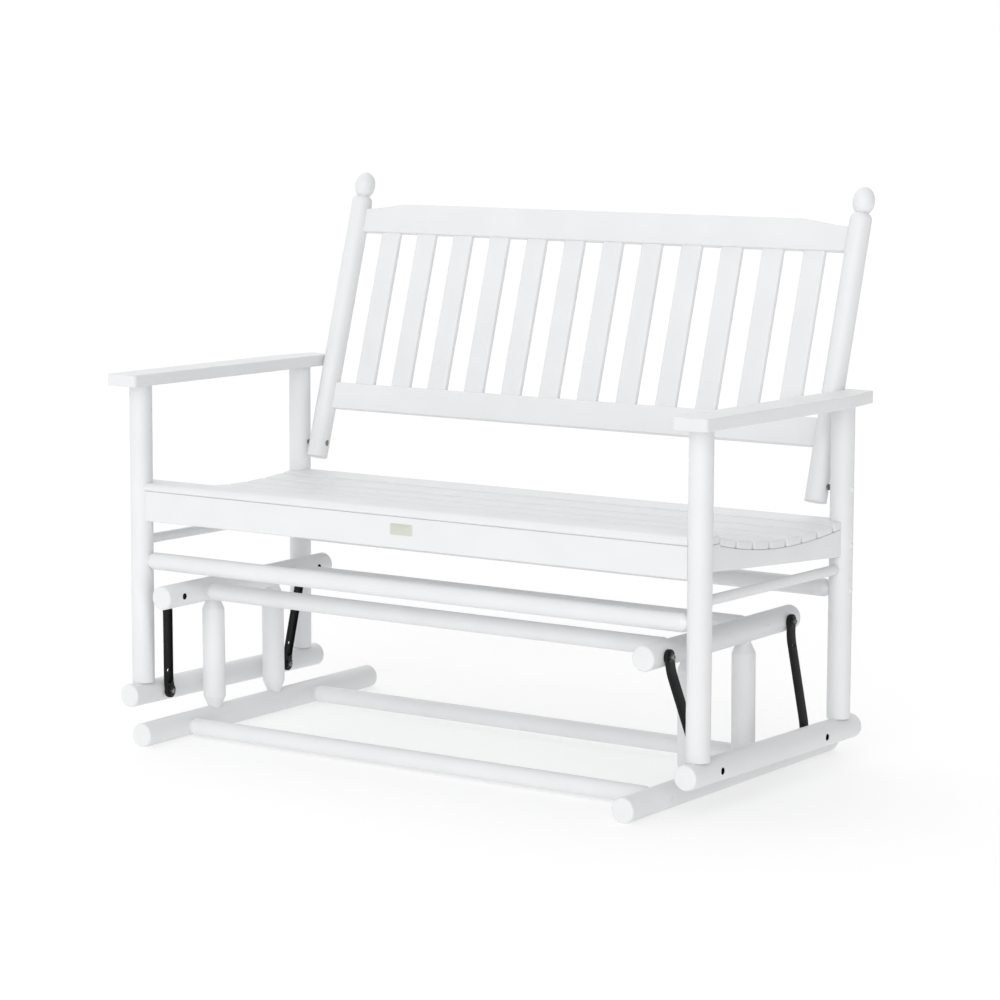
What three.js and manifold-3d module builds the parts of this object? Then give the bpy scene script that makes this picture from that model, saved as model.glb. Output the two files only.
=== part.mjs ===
// A two-seat glider bench: a slatted seat with a leaning back hangs on four steel links from a fixed base.
// Millimetres, +Z up, +X to the right of someone who looks at the bench's front, and the front faces -Y.
import * as THREE from 'three';
import { mergeVertices } from 'three/addons/utils/BufferGeometryUtils.js';
import Module from 'manifold-3d';

const wasm = await Module();
wasm.setup();

// Gaps and cuts
const fit = 0.3;                   // gap between a piece and what it sits in or on
const bearingGap = 0.4;            // gap round a pivot pin in its bore
const openPivotGap = 2.3;          // gap round the rear lower pins, which only nearly follow the links
const overrun = 5;                 // how far a cutting shape reaches past the piece that it cuts
const sides = 20;                  // facets round a turned piece
const pinSides = 12;               // facets round a pin, a bolt and their bores

// Rails, posts and rods
const railRadius = 22;             // floor rails, hanger rails and the seat's lower rails
const railEdge = 4;                // rounding of a rail's ends
const postRadius = 21;             // seat posts and uprights
const postEdge = 1.5;
const stretcherRadius = 16;
const stretcherChamfer = 9;
const stretcherTenonRadius = 11;
const rodRadius = 9;               // thin side rods under the seat
const rodChamfer = 2;
const rodTenonRadius = 7;
const tenonDepth = 13;             // how far a stretcher or rod goes into its post or rail

// Links and their pivots
const topPivotSpacing = 400;
const pivotTaper = 50;             // how much nearer the lower pivots stand to each other
const linkLength = 198;
const linkLean = 13;               // degrees, the front links' lower ends to the rear, at rest
const linkCrank = 31;              // how far the lower half of a link stands further out
const linkWidth = 22;
const linkDepth = 7;
const linkWall = 2.5;
const linkBossRadius = 12;
const linkTopStraight = 28;        // length of link below the top pivot that stays upright
const linkLowStraight = 16;        // the same above the lower pivot
const linkHoleRadius = 2.5;
const linkHoleInset = 42;          // from a pivot to the spare hole
const linkSeatGap = 0.5;           // between a link and the rail that it turns on
const pinRadius = 4;
const pinHeadRadius = 5;
const pinHeadLength = 7;
const pinRecess = 3;               // pin's far end inside the rail's surface

// Fixed base
const baseWidth = 1054;            // between the axes of the left and right floor rails
const hangerOverhang = 42;         // hanger rail beyond its pivots
const floorRailExtra = 202;        // how much longer a floor rail is than a hanger rail
const floorRailShift = 39;         // floor rails' middle behind the middle of the hanger rails
const floorFlat = 1;               // depth of the flat planed under a floor rail
const floorStretcherInset = 158;   // floor stretchers' axes from the ends of the floor rails
const upperStretcherInset = 73;    // upper stretchers' axes from the nearest pivots
const uprightSpacing = 176;
const uprightShift = -6;           // uprights' middle in front of the middle of the hanger rails
const uprightTipRadius = 13;
const uprightTaper = 18;
const uprightTenon = 8;

// Hanging seat frame. Heights are above the floor, along the frame's own upright, at the front lower pivots.
const lowRailHeight = 74;
const lowRailFront = 42;           // rail reaches this far in front of the front post's axis
const lowRailRear = 48;
const frontPivotInset = 45;        // from the front post's axis to the front lower pivot
const rearPivotInset = 75;
const postSeatDepth = 1.5;         // depth of the flat under a post, cut into the rail
const postTenonRadius = 9;
const postTenonLength = 16;
const armTenonLength = 12;
const stretcherClearance = 21;     // between the hanger rails' tops and the seat stretchers above them
const rodRise = 37;                // side rods above the seat stretchers, axis to axis
const boardClearance = 13;         // between a side rod and the side board's rear end above it

// Seat boards and slats
const apronThickness = 22;
const apronHeight = 57;
const boardEdge = 3;
const sideBoardThickness = 20;
const sideBoardFall = 28;          // how much lower a side board's rear end reaches than its front end
const rearBoardRise = 1;           // rear board's lower edge above the side boards'
const boardDepth = 55;             // from the side boards' rear lower edge to the lowest of the slats' tops
const slatThickness = 14;
const slatEdge = 3;
const slatGap = 5.5;
const frontSlatStep = 3;           // front slat's top above the next slats' line
const frontSlatWidth = 58;
const frontSlatOverhang = 3;       // past the apron's front face
const frontSlatRound = 9;
const hollowFrontDepth = 28.5;     // fall of the slats' tops from the front slat to the hollow
const hollowRearDepth = 12;        // rise of the slats' tops from the hollow to the rear
const hollowToRear = 185;
const seatRearOverhang = 4;        // slats' rear edge past the rear posts' axis
const hollowSlatCount = 8;

// Armrests
const armRise = 147;               // armrest's underside above the back posts' lower bolts
const armThickness = 22;
const armWidth = 69;
const armFront = 50;               // past the front post's axis
const armRear = 66;                // past the rear post's axis
const armTaper = 17;               // narrowing of the outer edge at the rear
const armTaperLength = 112;
const armFrontRound = 9;
const armRearRound = 5;

// Backrest, measured along the leaning posts from their lower ends
const backLean = 16.5;             // degrees from the seat posts
const backPostGap = 8;             // between a seat post and the back post inside it
const backPostRadius = 20;
const backPostEdge = 2;
const crestToShoulder = 1;
const shoulderHeight = 12.5;
const neckRadius = 11.5;
const neckHeight = 0.5;
const finialHeight = 48;
const backBoltInset = 29;          // lower bolt above the post's end
const backBoltRise = 53.5;         // lower bolt above the rear of the seat
const backRailThickness = 20;
const backRailSetback = 4;         // rails' and slats' middle behind the posts' axes
const lowerRailBottom = 99;
const lowerRailHeight = 52;
const backSlatShowing = 303;       // slat's length between the two rails
const crestHeight = 58;
const crestDrop = 11;              // top edge's fall at the crest rail's ends
const crestDropLength = 106;
const crestDropSteps = 6;
const backSlatCount = 12;
const backSlatWidth = 44;
const backSlatThickness = 12;
const backSlatEdge = 1.5;
const backSlatTenon = 9;
const backBoltRadius = 4;
const backBoltHeadRadius = 6.5;
const backBoltHeadLength = 3;
const backBoltNutRadius = 6;
const backBoltNutLength = 6;
const backBoltNutRecess = 3;       // nut's end inside the back post's surface

// Finishes
const whitePaint = { color: 0xeeeeec, roughness: 0.42, metalness: 0 };
const blackPaint = { color: 0x1b1b1c, roughness: 0.5, metalness: 0.3 };
const zincPlate = { color: 0x9a9c9e, roughness: 0.35, metalness: 0.9 };

// A solid that can be joined and cut, from a closed three.js geometry
function solid(geometry) {
  const bare = geometry.clone();
  bare.deleteAttribute('normal');
  bare.deleteAttribute('uv');
  const merged = mergeVertices(bare);
  const corners = merged.index.array;
  const kept = [];
  for (let i = 0; i < corners.length; i += 3) {
    const [a, b, c] = [corners[i], corners[i + 1], corners[i + 2]];
    if (a !== b && b !== c && c !== a) kept.push(a, b, c);
  }
  const vertProperties = new Float32Array(merged.attributes.position.array);
  return new wasm.Manifold(new wasm.Mesh({ numProp: 3, vertProperties, triVerts: new Uint32Array(kept) }));
}

// A named mesh from a solid, in the frame of its parent group
function addPiece(parent, name, body, finish) {
  const { vertProperties, triVerts } = body.getMesh();
  const geometry = new THREE.BufferGeometry();
  geometry.setAttribute('position', new THREE.BufferAttribute(new Float32Array(vertProperties), 3));
  geometry.setIndex(new THREE.BufferAttribute(new Uint32Array(triVerts), 1));
  geometry.computeVertexNormals();
  const mesh = new THREE.Mesh(geometry, new THREE.MeshStandardMaterial(finish));
  mesh.name = name;
  parent.add(mesh);
  return mesh;
}

// Turned shape about Z, from pairs of radius and height that start and end on the axis
function turned(profile, facets = sides) {
  const points = profile.map(([radius, height]) => new THREE.Vector2(radius, height));
  return new THREE.LatheGeometry(points, facets).rotateX(Math.PI / 2);
}

// The same shapes laid along X or along Y, starting at zero
const alongX = (geometry) => geometry.rotateY(Math.PI / 2);
const alongY = (geometry) => geometry.rotateX(-Math.PI / 2);

// A rail with rounded ends
function railShape(length, radius, edge) {
  const roundSteps = 2;
  const start = [];
  const end = [];
  for (let i = 0; i <= roundSteps; i += 1) {
    const angle = (i / roundSteps) * Math.PI / 2;
    const r = radius - edge + edge * Math.sin(angle);
    const rise = edge - edge * Math.cos(angle);
    start.push([r, rise]);
    end.unshift([r, length - rise]);
  }
  return turned([[0, 0], ...start, ...end, [0, length]]);
}

// A rod with a tenon at each end and a chamfer where the tenon starts; length runs over both tenons
function tenonedShape(length, radius, tenonRadius, tenonLength, chamfer) {
  const low = tenonLength;
  const high = length - tenonLength;
  return turned([[0, 0], [tenonRadius, 0], [tenonRadius, low], [radius, low + chamfer],
    [radius, high - chamfer], [tenonRadius, high], [tenonRadius, length], [0, length]]);
}

// A plain round bar or cutter; a cutter is wider than the piece it makes room for by the given gap
function roundCut(radius, gap, length, facets = sides) {
  const widest = gap > 0 ? (radius + gap) / Math.cos(Math.PI / facets) : radius;
  return turned([[0, 0], [widest, 0], [widest, length], [0, length]], facets);
}

// A bar along X with a rounded-corner section in Y and Z, centred on its own axis
function slatShape(length, width, thickness, edge, frontRound) {
  const halfWidth = width / 2;
  const halfThickness = thickness / 2;
  const outline = new THREE.Shape();
  outline.moveTo(-halfWidth, -halfThickness + edge);
  outline.lineTo(-halfWidth, halfThickness - frontRound);
  outline.absarc(-halfWidth + frontRound, halfThickness - frontRound, frontRound, Math.PI, Math.PI / 2, true);
  outline.lineTo(halfWidth - edge, halfThickness);
  outline.absarc(halfWidth - edge, halfThickness - edge, edge, Math.PI / 2, 0, true);
  outline.lineTo(halfWidth, -halfThickness + edge);
  outline.absarc(halfWidth - edge, -halfThickness + edge, edge, 0, -Math.PI / 2, true);
  outline.lineTo(-halfWidth + edge, -halfThickness);
  outline.absarc(-halfWidth + edge, -halfThickness + edge, edge, -Math.PI / 2, -Math.PI, true);
  const settings = { depth: length, bevelEnabled: false, curveSegments: 3 };
  const geometry = new THREE.ExtrudeGeometry(outline, settings);
  return geometry.rotateX(Math.PI / 2).rotateZ(Math.PI / 2).translate(-length / 2, 0, 0);
}

// A flat board from an outline of pairs, drawn in X and Y and raised along Z
function boardShape(points, thickness) {
  const outline = new THREE.Shape(points.map(([x, y]) => new THREE.Vector2(x, y)));
  return new THREE.ExtrudeGeometry(outline, { depth: thickness, bevelEnabled: false });
}

// Pivots of the four-bar linkage, in Y and Z, with the middle of the hanger rails at Y zero
const lowPivotSpacing = topPivotSpacing - pivotTaper;
const leanAngle = THREE.MathUtils.degToRad(linkLean);
const hangerHeight = lowRailHeight + linkLength * Math.cos(leanAngle);
const frontTop = new THREE.Vector2(-topPivotSpacing / 2, hangerHeight);
const rearTop = new THREE.Vector2(topPivotSpacing / 2, hangerHeight);
const frontLow = new THREE.Vector2(frontTop.x + linkLength * Math.sin(leanAngle), lowRailHeight);
const rearLow = lowerMeeting(rearTop, linkLength, frontLow, lowPivotSpacing);
const framePitch = Math.atan2(frontLow.y - rearLow.y, rearLow.x - frontLow.x);

// The lower of the two points that lie at the given distances from two centres
function lowerMeeting(centreA, reachA, centreB, reachB) {
  const between = centreB.clone().sub(centreA);
  const span = between.length();
  const along = (reachA * reachA - reachB * reachB + span * span) / (span + span);
  const across = Math.sqrt(reachA * reachA - along * along);
  const direction = between.normalize();
  const foot = centreA.clone().addScaledVector(direction, along);
  const normal = new THREE.Vector2(-direction.y, direction.x);
  const first = foot.clone().addScaledVector(normal, across);
  const second = foot.clone().addScaledVector(normal, -across);
  return first.y < second.y ? first : second;
}

const handNames = [['left', -1], ['right', 1]];
const baseX = baseWidth / 2;
const seatPostX = baseX + railRadius * 2 + linkSeatGap * 2 + linkDepth + linkCrank;

const bench = new THREE.Group();
const base = new THREE.Group();
const swing = new THREE.Group();
swing.position.set(0, frontLow.x, frontLow.y);
swing.rotation.x = -framePitch;
const seatFrame = new THREE.Group();
seatFrame.position.set(0, -frontPivotInset, -lowRailHeight);
swing.add(seatFrame);
bench.add(base, swing);

// Fixed base: floor rails, uprights, hanger rails and four round stretchers
const hangerLength = topPivotSpacing + hangerOverhang * 2;
const floorRailLength = hangerLength + floorRailExtra;
const floorRailHeight = railRadius - floorFlat;
const floorStretcherReach = floorRailLength / 2 - floorStretcherInset;
const floorStretcherYs = [-floorStretcherReach, floorStretcherReach];
const upperStretcherReach = topPivotSpacing / 2 - upperStretcherInset;
const upperStretcherYs = [-upperStretcherReach, upperStretcherReach];
const uprightYs = [uprightShift - uprightSpacing / 2, uprightShift + uprightSpacing / 2];
const baseStretcherLength = baseWidth - (railRadius - tenonDepth) * 2;

// Sockets in a rail's inner side, on its axis, for stretchers at the given places along Y
function sideSockets(rail, hand, ys, height) {
  let body = rail;
  for (const y of ys) {
    const socket = roundCut(stretcherTenonRadius, fit, tenonDepth + fit + overrun);
    alongX(socket).translate(-tenonDepth - fit, 0, 0);
    if (hand > 0) socket.rotateZ(Math.PI);
    socket.translate(hand * (baseX - railRadius), y, height);
    body = body.subtract(solid(socket));
  }
  return body;
}

// Upright tenons' sockets, sunk from the face of a rail that looks up (facing 1) or down (facing -1)
function uprightSockets(rail, hand, axisHeight, facing) {
  let body = rail;
  for (const y of uprightYs) {
    const reach = uprightTenon + fit + overrun;
    const socket = roundCut(uprightTipRadius, fit, reach);
    const mouth = axisHeight + facing * railRadius;
    const bottom = facing > 0 ? mouth - uprightTenon - fit : mouth - overrun;
    socket.translate(hand * baseX, y, bottom);
    body = body.subtract(solid(socket));
  }
  return body;
}

for (const [side, hand] of handNames) {
  const floorShape = alongY(railShape(floorRailLength, railRadius, railEdge));
  floorShape.translate(hand * baseX, floorRailShift - floorRailLength / 2, floorRailHeight);
  const planer = new THREE.BoxGeometry(railRadius * 2, floorRailLength + overrun * 2, railRadius);
  planer.translate(hand * baseX, floorRailShift, -railRadius / 2);
  let floorRail = solid(floorShape).subtract(solid(planer));
  floorRail = sideSockets(floorRail, hand, floorStretcherYs, floorRailHeight);
  floorRail = uprightSockets(floorRail, hand, floorRailHeight, 1);
  addPiece(base, `floor_rail_${side}`, floorRail, whitePaint);

  const hangerShape = alongY(railShape(hangerLength, railRadius, railEdge));
  hangerShape.translate(hand * baseX, -hangerLength / 2, hangerHeight);
  let hanger = sideSockets(solid(hangerShape), hand, upperStretcherYs, hangerHeight);
  hanger = uprightSockets(hanger, hand, hangerHeight, -1);
  for (const pivot of [frontTop, rearTop]) {
    const bore = alongX(roundCut(pinRadius, bearingGap, (railRadius + overrun) * 2, pinSides));
    bore.translate(hand * baseX - railRadius - overrun, pivot.x, pivot.y);
    hanger = hanger.subtract(solid(bore));
  }
  addPiece(base, `hanger_rail_${side}`, hanger, whitePaint);

  const uprightBottom = floorRailHeight + railRadius - uprightTenon;
  const uprightTop = hangerHeight - railRadius + uprightTenon;
  const uprightLength = uprightTop - uprightBottom;
  uprightYs.forEach((y, index) => {
    const place = index === 0 ? 'front' : 'rear';
    const low = uprightTenon + fit;
    const profile = [[0, 0], [uprightTipRadius, 0], [uprightTipRadius, low], [postRadius, low + uprightTaper],
      [postRadius, uprightLength - low - uprightTaper], [uprightTipRadius, uprightLength - low],
      [uprightTipRadius, uprightLength], [0, uprightLength]];
    const upright = turned(profile).translate(hand * baseX, y, uprightBottom);
    addPiece(base, `upright_${place}_${side}`, solid(upright), whitePaint);
  });
}

// A stretcher between the two sides, at a place in Y and a height
function addStretcher(parent, name, length, y, height) {
  const shape = tenonedShape(length, stretcherRadius, stretcherTenonRadius, tenonDepth, stretcherChamfer);
  addPiece(parent, name, solid(alongX(shape).translate(-length / 2, y, height)), whitePaint);
}

const placeNames = ['front', 'rear'];
placeNames.forEach((place, index) => {
  const [floorY, upperY] = [floorStretcherYs[index], upperStretcherYs[index]];
  addStretcher(base, `floor_stretcher_${place}`, baseStretcherLength, floorY, floorRailHeight);
  addStretcher(base, `upper_stretcher_${place}`, baseStretcherLength, upperY, hangerHeight);
});

// Links: pressed steel channels, cranked outwards, each with its two pivot pins
const linkTopX = baseX + railRadius + linkSeatGap;

function linkSideOutline(shift, depth) {
  const down = [[0, 0], [0, -linkTopStraight], [linkCrank, linkLowStraight - linkLength],
    [linkCrank, -linkLength]];
  const outer = down.map(([x, z]) => [x + shift + depth, z]);
  const inner = down.map(([x, z]) => [x + shift, z]);
  return [...inner, ...outer.reverse()];
}

// One right-hand link, with its top pivot at the origin and its length down -Z
function linkBody(holeFromTop) {
  const stand = (geometry, width) => geometry.rotateX(Math.PI / 2).translate(0, width / 2, 0);
  const bar = stand(boardShape(linkSideOutline(0, linkDepth), linkWidth), linkWidth);
  let body = solid(bar);
  const hollowWidth = linkWidth - linkWall * 2;
  const hollow = stand(boardShape(linkSideOutline(-linkWall, linkDepth), hollowWidth), hollowWidth);
  body = body.subtract(solid(hollow));
  for (const [x, z, outward] of [[0, 0, 1], [linkCrank, -linkLength, -1]]) {
    const boss = alongX(roundCut(linkBossRadius, 0, linkDepth)).translate(x, 0, z);
    body = body.add(solid(boss));
    const intoRail = linkSeatGap + railRadius * 2 - pinRecess;
    const sunk = linkDepth / 2;
    const pin = alongX(roundCut(pinRadius, 0, intoRail + sunk, pinSides));
    pin.translate(outward > 0 ? x - intoRail : x + linkDepth - sunk, 0, z);
    body = body.add(solid(pin));
    const head = alongX(roundCut(pinHeadRadius, 0, pinHeadLength + sunk, pinSides));
    head.translate(outward > 0 ? x + linkDepth - sunk : x - pinHeadLength, 0, z);
    body = body.add(solid(head));
  }
  const holeZ = holeFromTop ? -linkHoleInset : linkHoleInset - linkLength;
  const hole = alongX(roundCut(linkHoleRadius, 0, linkCrank + linkDepth + overrun * 2, pinSides));
  hole.translate(-overrun, 0, holeZ);
  return body.subtract(solid(hole));
}

for (const [side, hand] of handNames) {
  for (const [place, top, low] of [['front', frontTop, frontLow], ['rear', rearTop, rearLow]]) {
    const holeFromTop = place === 'rear' && side === 'right';
    const link = addPiece(bench, `swing_link_${place}_${side}`, linkBody(holeFromTop), blackPaint);
    if (hand < 0) mirrorAcrossX(link.geometry);
    link.position.set(hand * linkTopX, top.x, top.y);
    link.rotation.x = Math.atan2(low.x - top.x, top.y - low.y);
  }
}

// Left-hand copy of a right-hand geometry: places are mirrored and each triangle is turned over
function mirrorAcrossX(geometry) {
  geometry.scale(-1, 1, 1);
  const corners = geometry.index.array;
  for (let i = 0; i < corners.length; i += 3) [corners[i], corners[i + 1]] = [corners[i + 1], corners[i]];
  geometry.computeVertexNormals();
}

// Hanging frame: lower rails, posts, stretchers and side rods. Heights build up from the hanger rails.
const seatPostSpacing = frontPivotInset + lowPivotSpacing + rearPivotInset;
const postYs = [0, seatPostSpacing];
const seatStretcherHeight = hangerHeight + railRadius + stretcherClearance + stretcherRadius;
const sideRodHeight = seatStretcherHeight + rodRise;
const sideBoardRearBottom = sideRodHeight + rodRadius + boardClearance;
const hollowHeight = sideBoardRearBottom + boardDepth;
const seatRearHeight = hollowHeight + hollowRearDepth;
const frontSlatTop = hollowHeight + hollowFrontDepth + frontSlatStep;
const backBoltHeight = seatRearHeight + backBoltRise;
const armBottom = backBoltHeight + armRise;
const lowRailLength = lowRailFront + seatPostSpacing + lowRailRear;
const postBottom = lowRailHeight + railRadius - postSeatDepth;

function postCutter(hand, y, gap, low, high) {
  return solid(roundCut(postRadius, gap, high - low).translate(hand * seatPostX, y, low));
}

for (const [side, hand] of handNames) {
  const railGeometry = alongY(railShape(lowRailLength, railRadius, railEdge));
  railGeometry.translate(hand * seatPostX, -lowRailFront, lowRailHeight);
  let lowRail = solid(railGeometry);
  for (const y of postYs) {
    lowRail = lowRail.subtract(postCutter(hand, y, fit, postBottom - fit, postBottom + railRadius));
    const mortise = roundCut(postTenonRadius, fit, postTenonLength + fit + overrun);
    mortise.translate(hand * seatPostX, y, postBottom - postTenonLength - fit);
    lowRail = lowRail.subtract(solid(mortise));
  }
  for (const [y, gap] of [[frontPivotInset, bearingGap], [frontPivotInset + lowPivotSpacing, openPivotGap]]) {
    const bore = alongX(roundCut(pinRadius, gap, (railRadius + overrun) * 2, pinSides));
    bore.translate(hand * seatPostX - railRadius - overrun, y, lowRailHeight);
    lowRail = lowRail.subtract(solid(bore));
  }
  addPiece(seatFrame, `seat_rail_${side}`, lowRail, whitePaint);

  postYs.forEach((y, index) => {
    const low = postBottom;
    const high = armBottom - fit;
    const bodyRadius = postRadius - postEdge;
    const [foot, tip] = [low - postTenonLength, high + armTenonLength];
    const profile = [[0, foot], [postTenonRadius, foot], [postTenonRadius, low], [bodyRadius, low],
      [postRadius, low + postEdge], [postRadius, high - postEdge], [bodyRadius, high],
      [postTenonRadius, high], [postTenonRadius, tip], [0, tip]];
    let post = solid(turned(profile).translate(hand * seatPostX, y, 0));
    const stretcherSocket = alongX(roundCut(stretcherTenonRadius, fit, tenonDepth + fit + overrun));
    stretcherSocket.translate(-tenonDepth - fit, 0, 0);
    if (hand > 0) stretcherSocket.rotateZ(Math.PI);
    stretcherSocket.translate(hand * (seatPostX - postRadius), y, seatStretcherHeight);
    post = post.subtract(solid(stretcherSocket));
    const rodSocket = alongY(roundCut(rodTenonRadius, fit, tenonDepth + fit + overrun));
    rodSocket.translate(0, -tenonDepth - fit, 0);
    if (index === 1) rodSocket.rotateZ(Math.PI);
    const mouthY = index === 0 ? y + postRadius : y - postRadius;
    rodSocket.translate(hand * seatPostX, mouthY, sideRodHeight);
    post = post.subtract(solid(rodSocket));
    if (index === 1) {
      const bore = alongX(roundCut(backBoltRadius, fit, (postRadius + overrun) * 2, pinSides));
      bore.translate(hand * seatPostX - postRadius - overrun, y, backBoltHeight);
      post = post.subtract(solid(bore));
    }
    addPiece(seatFrame, `seat_post_${placeNames[index]}_${side}`, post, whitePaint);
  });

  const rodLength = seatPostSpacing - (postRadius - tenonDepth) * 2;
  const rod = alongY(tenonedShape(rodLength, rodRadius, rodTenonRadius, tenonDepth, rodChamfer));
  rod.translate(hand * seatPostX, postRadius - tenonDepth, sideRodHeight);
  addPiece(seatFrame, `side_rod_${side}`, solid(rod), whitePaint);
}

postYs.forEach((y, index) => {
  const length = (seatPostX - postRadius + tenonDepth) * 2;
  addStretcher(seatFrame, `seat_stretcher_${placeNames[index]}`, length, y, seatStretcherHeight);
});

// Height and slope of the slats' tops behind the front slat: one parabola falls to the hollow, one rises
const frontSlatFront = -apronThickness / 2 - frontSlatOverhang;
const frontSlatRear = frontSlatFront + frontSlatWidth;
const seatRearY = seatPostSpacing + seatRearOverhang;
const hollowY = seatRearY - hollowToRear;

function seatTop(y) {
  const rise = y < hollowY ? hollowFrontDepth : hollowRearDepth;
  const reach = y < hollowY ? frontSlatRear - hollowY : seatRearY - hollowY;
  const part = (y - hollowY) / reach;
  return { height: hollowHeight + rise * part * part, tilt: Math.atan(2 * rise * part / reach) };
}

const slatPitch = (seatRearY - frontSlatRear) / hollowSlatCount;
const slatWidth = slatPitch - slatGap;
const frontSlat = {
  y: (frontSlatFront + frontSlatRear) / 2,
  z: frontSlatTop - slatThickness / 2,
  tilt: 0,
  width: frontSlatWidth,
};
const slats = [frontSlat];
for (let i = 0; i < hollowSlatCount; i += 1) {
  const y = frontSlatRear + slatGap + slatWidth / 2 + i * slatPitch;
  const { height, tilt } = seatTop(y);
  const down = slatThickness / 2;
  slats.push({ y: y + down * Math.sin(tilt), z: height - down * Math.cos(tilt), tilt, width: slatWidth });
}

const slatEndX = seatPostX + sideBoardThickness / 2;
slats.forEach((slat, index) => {
  const round = index === 0 ? Math.min(frontSlatRound, slatThickness - slatEdge) : slatEdge;
  const shape = slatShape(slatEndX * 2, slat.width, slatThickness, slatEdge, round);
  const place = new THREE.Matrix4().makeRotationX(slat.tilt).setPosition(0, slat.y, slat.z);
  const back = place.clone().invert();
  let body = solid(shape);
  for (const hand of [-1, 1]) {
    for (const y of postYs) {
      const reach = slatThickness * 2;
      const post = roundCut(postRadius, fit, reach * 2).translate(hand * seatPostX, y, slat.z - reach);
      body = body.subtract(solid(post.applyMatrix4(back)));
    }
  }
  const mesh = addPiece(seatFrame, `seat_slat_${index + 1}`, body, whitePaint);
  mesh.position.set(0, slat.y, slat.z);
  mesh.rotation.x = slat.tilt;
});

// Underside of the slats, as seen from the side: two points for each slat, lowered by the fit
function slatUnderline() {
  const points = [];
  for (const slat of slats) {
    const drop = slatThickness / 2 + fit;
    const [sin, cos] = [Math.sin(slat.tilt), Math.cos(slat.tilt)];
    for (const half of [-slat.width / 2, slat.width / 2]) {
      points.push([slat.y + half * cos + drop * sin, slat.z + half * sin - drop * cos]);
    }
  }
  return points;
}

// A board under the slats that runs from one Y to the other, with its face in the YZ plane
function contouredBoard(fromY, toY, thickness) {
  const bottomAt = (y) => sideBoardRearBottom + sideBoardFall * (seatPostSpacing - y) / seatPostSpacing;
  const line = slatUnderline();
  const heightAt = (y) => {
    const next = line.findIndex(([lineY]) => lineY >= y);
    if (next === 0) return line[0][1];
    if (next < 0) return line[line.length - 1][1];
    const [a, b] = [line[next - 1], line[next]];
    return a[1] + (b[1] - a[1]) * (y - a[0]) / (b[0] - a[0]);
  };
  const inside = line.filter(([y]) => y > fromY && y < toY).reverse();
  const start = [fromY, heightAt(fromY)];
  const end = [toY, heightAt(toY)];
  const outline = [[fromY, bottomAt(fromY)], [toY, bottomAt(toY)], end, ...inside, start];
  const board = boardShape(outline, thickness);
  return board.rotateX(Math.PI / 2).rotateZ(Math.PI / 2).translate(-thickness / 2, 0, 0);
}

for (const [side, hand] of handNames) {
  let board = solid(contouredBoard(0, seatPostSpacing, sideBoardThickness).translate(hand * seatPostX, 0, 0));
  for (const y of postYs) {
    board = board.subtract(postCutter(hand, y, fit, sideBoardRearBottom - overrun, frontSlatTop));
  }
  addPiece(seatFrame, `seat_side_board_${side}`, largestPiece(board), whitePaint);
}

// What is left of a board between two posts, without the crumbs beyond them
function largestPiece(body) {
  return body.decompose().reduce((best, part) => (part.volume() > best.volume() ? part : best));
}

// A cross board between the two posts of the front or rear, coped round them
function crossBoard(y, low, high, thickness) {
  const section = slatShape(seatPostX * 2, thickness, high - low, boardEdge, boardEdge);
  let board = solid(section.translate(0, y, (low + high) / 2));
  for (const hand of [-1, 1]) {
    board = board.subtract(postCutter(hand, y, fit, low - overrun, high + overrun));
  }
  return largestPiece(board);
}

const apronTop = frontSlatTop - slatThickness - fit;
const apron = crossBoard(0, apronTop - apronHeight, apronTop, apronThickness);
addPiece(seatFrame, 'seat_apron', apron, whitePaint);
const rearBoardFace = seatPostSpacing - apronThickness / 2;
const rearBoardBottom = sideBoardRearBottom + rearBoardRise;
const rearEdge = seatTop(rearBoardFace);
const rearBoardTop = rearEdge.height - slatThickness / Math.cos(rearEdge.tilt) - fit * 2;
const rearBoard = crossBoard(seatPostSpacing, rearBoardBottom, rearBoardTop, apronThickness);
addPiece(seatFrame, 'seat_rear_board', rearBoard, whitePaint);
const middleBoard = contouredBoard(apronThickness / 2 + fit, rearBoardFace - fit, sideBoardThickness);
addPiece(seatFrame, 'seat_middle_board', solid(middleBoard), whitePaint);

// Armrests: flat boards on the posts, their inner edges against the back posts
const backPostX = seatPostX - postRadius - backPostGap - backPostRadius;
const armInnerX = backPostX + backPostRadius + fit;

function roundedPath(corners) {
  const outline = new THREE.Shape();
  corners.forEach(([x, y, round], index) => {
    const here = new THREE.Vector2(x, y);
    const before = corners[(index + corners.length - 1) % corners.length];
    const after = corners[(index + 1) % corners.length];
    const towards = ([toX, toY]) => new THREE.Vector2(toX, toY).sub(here).setLength(round).add(here);
    const start = towards(before);
    const end = towards(after);
    if (index === 0) outline.moveTo(start.x, start.y);
    else outline.lineTo(start.x, start.y);
    if (round > 0) outline.quadraticCurveTo(x, y, end.x, end.y);
  });
  outline.closePath();
  return outline;
}

for (const [side, hand] of handNames) {
  const [inner, outer] = [armInnerX, armInnerX + armWidth];
  const [front, rear] = [-armFront, seatPostSpacing + armRear];
  const corners = [[inner, front, armFrontRound], [outer, front, armFrontRound],
    [outer, rear - armTaperLength, 0], [outer - armTaper, rear, armRearRound], [inner, rear, armRearRound]];
  const outline = roundedPath(hand > 0 ? corners : corners.map(([x, y, round]) => [-x, y, round]).reverse());
  const settings = { depth: armThickness, bevelEnabled: false, curveSegments: 4 };
  let arm = solid(new THREE.ExtrudeGeometry(outline, settings).translate(0, 0, armBottom));
  for (const y of postYs) {
    const mortise = roundCut(postTenonRadius, fit, armTenonLength + fit + overrun);
    mortise.translate(hand * seatPostX, y, armBottom - overrun);
    arm = arm.subtract(solid(mortise));
  }
  addPiece(seatFrame, `armrest_${side}`, arm, whitePaint);
}

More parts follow.
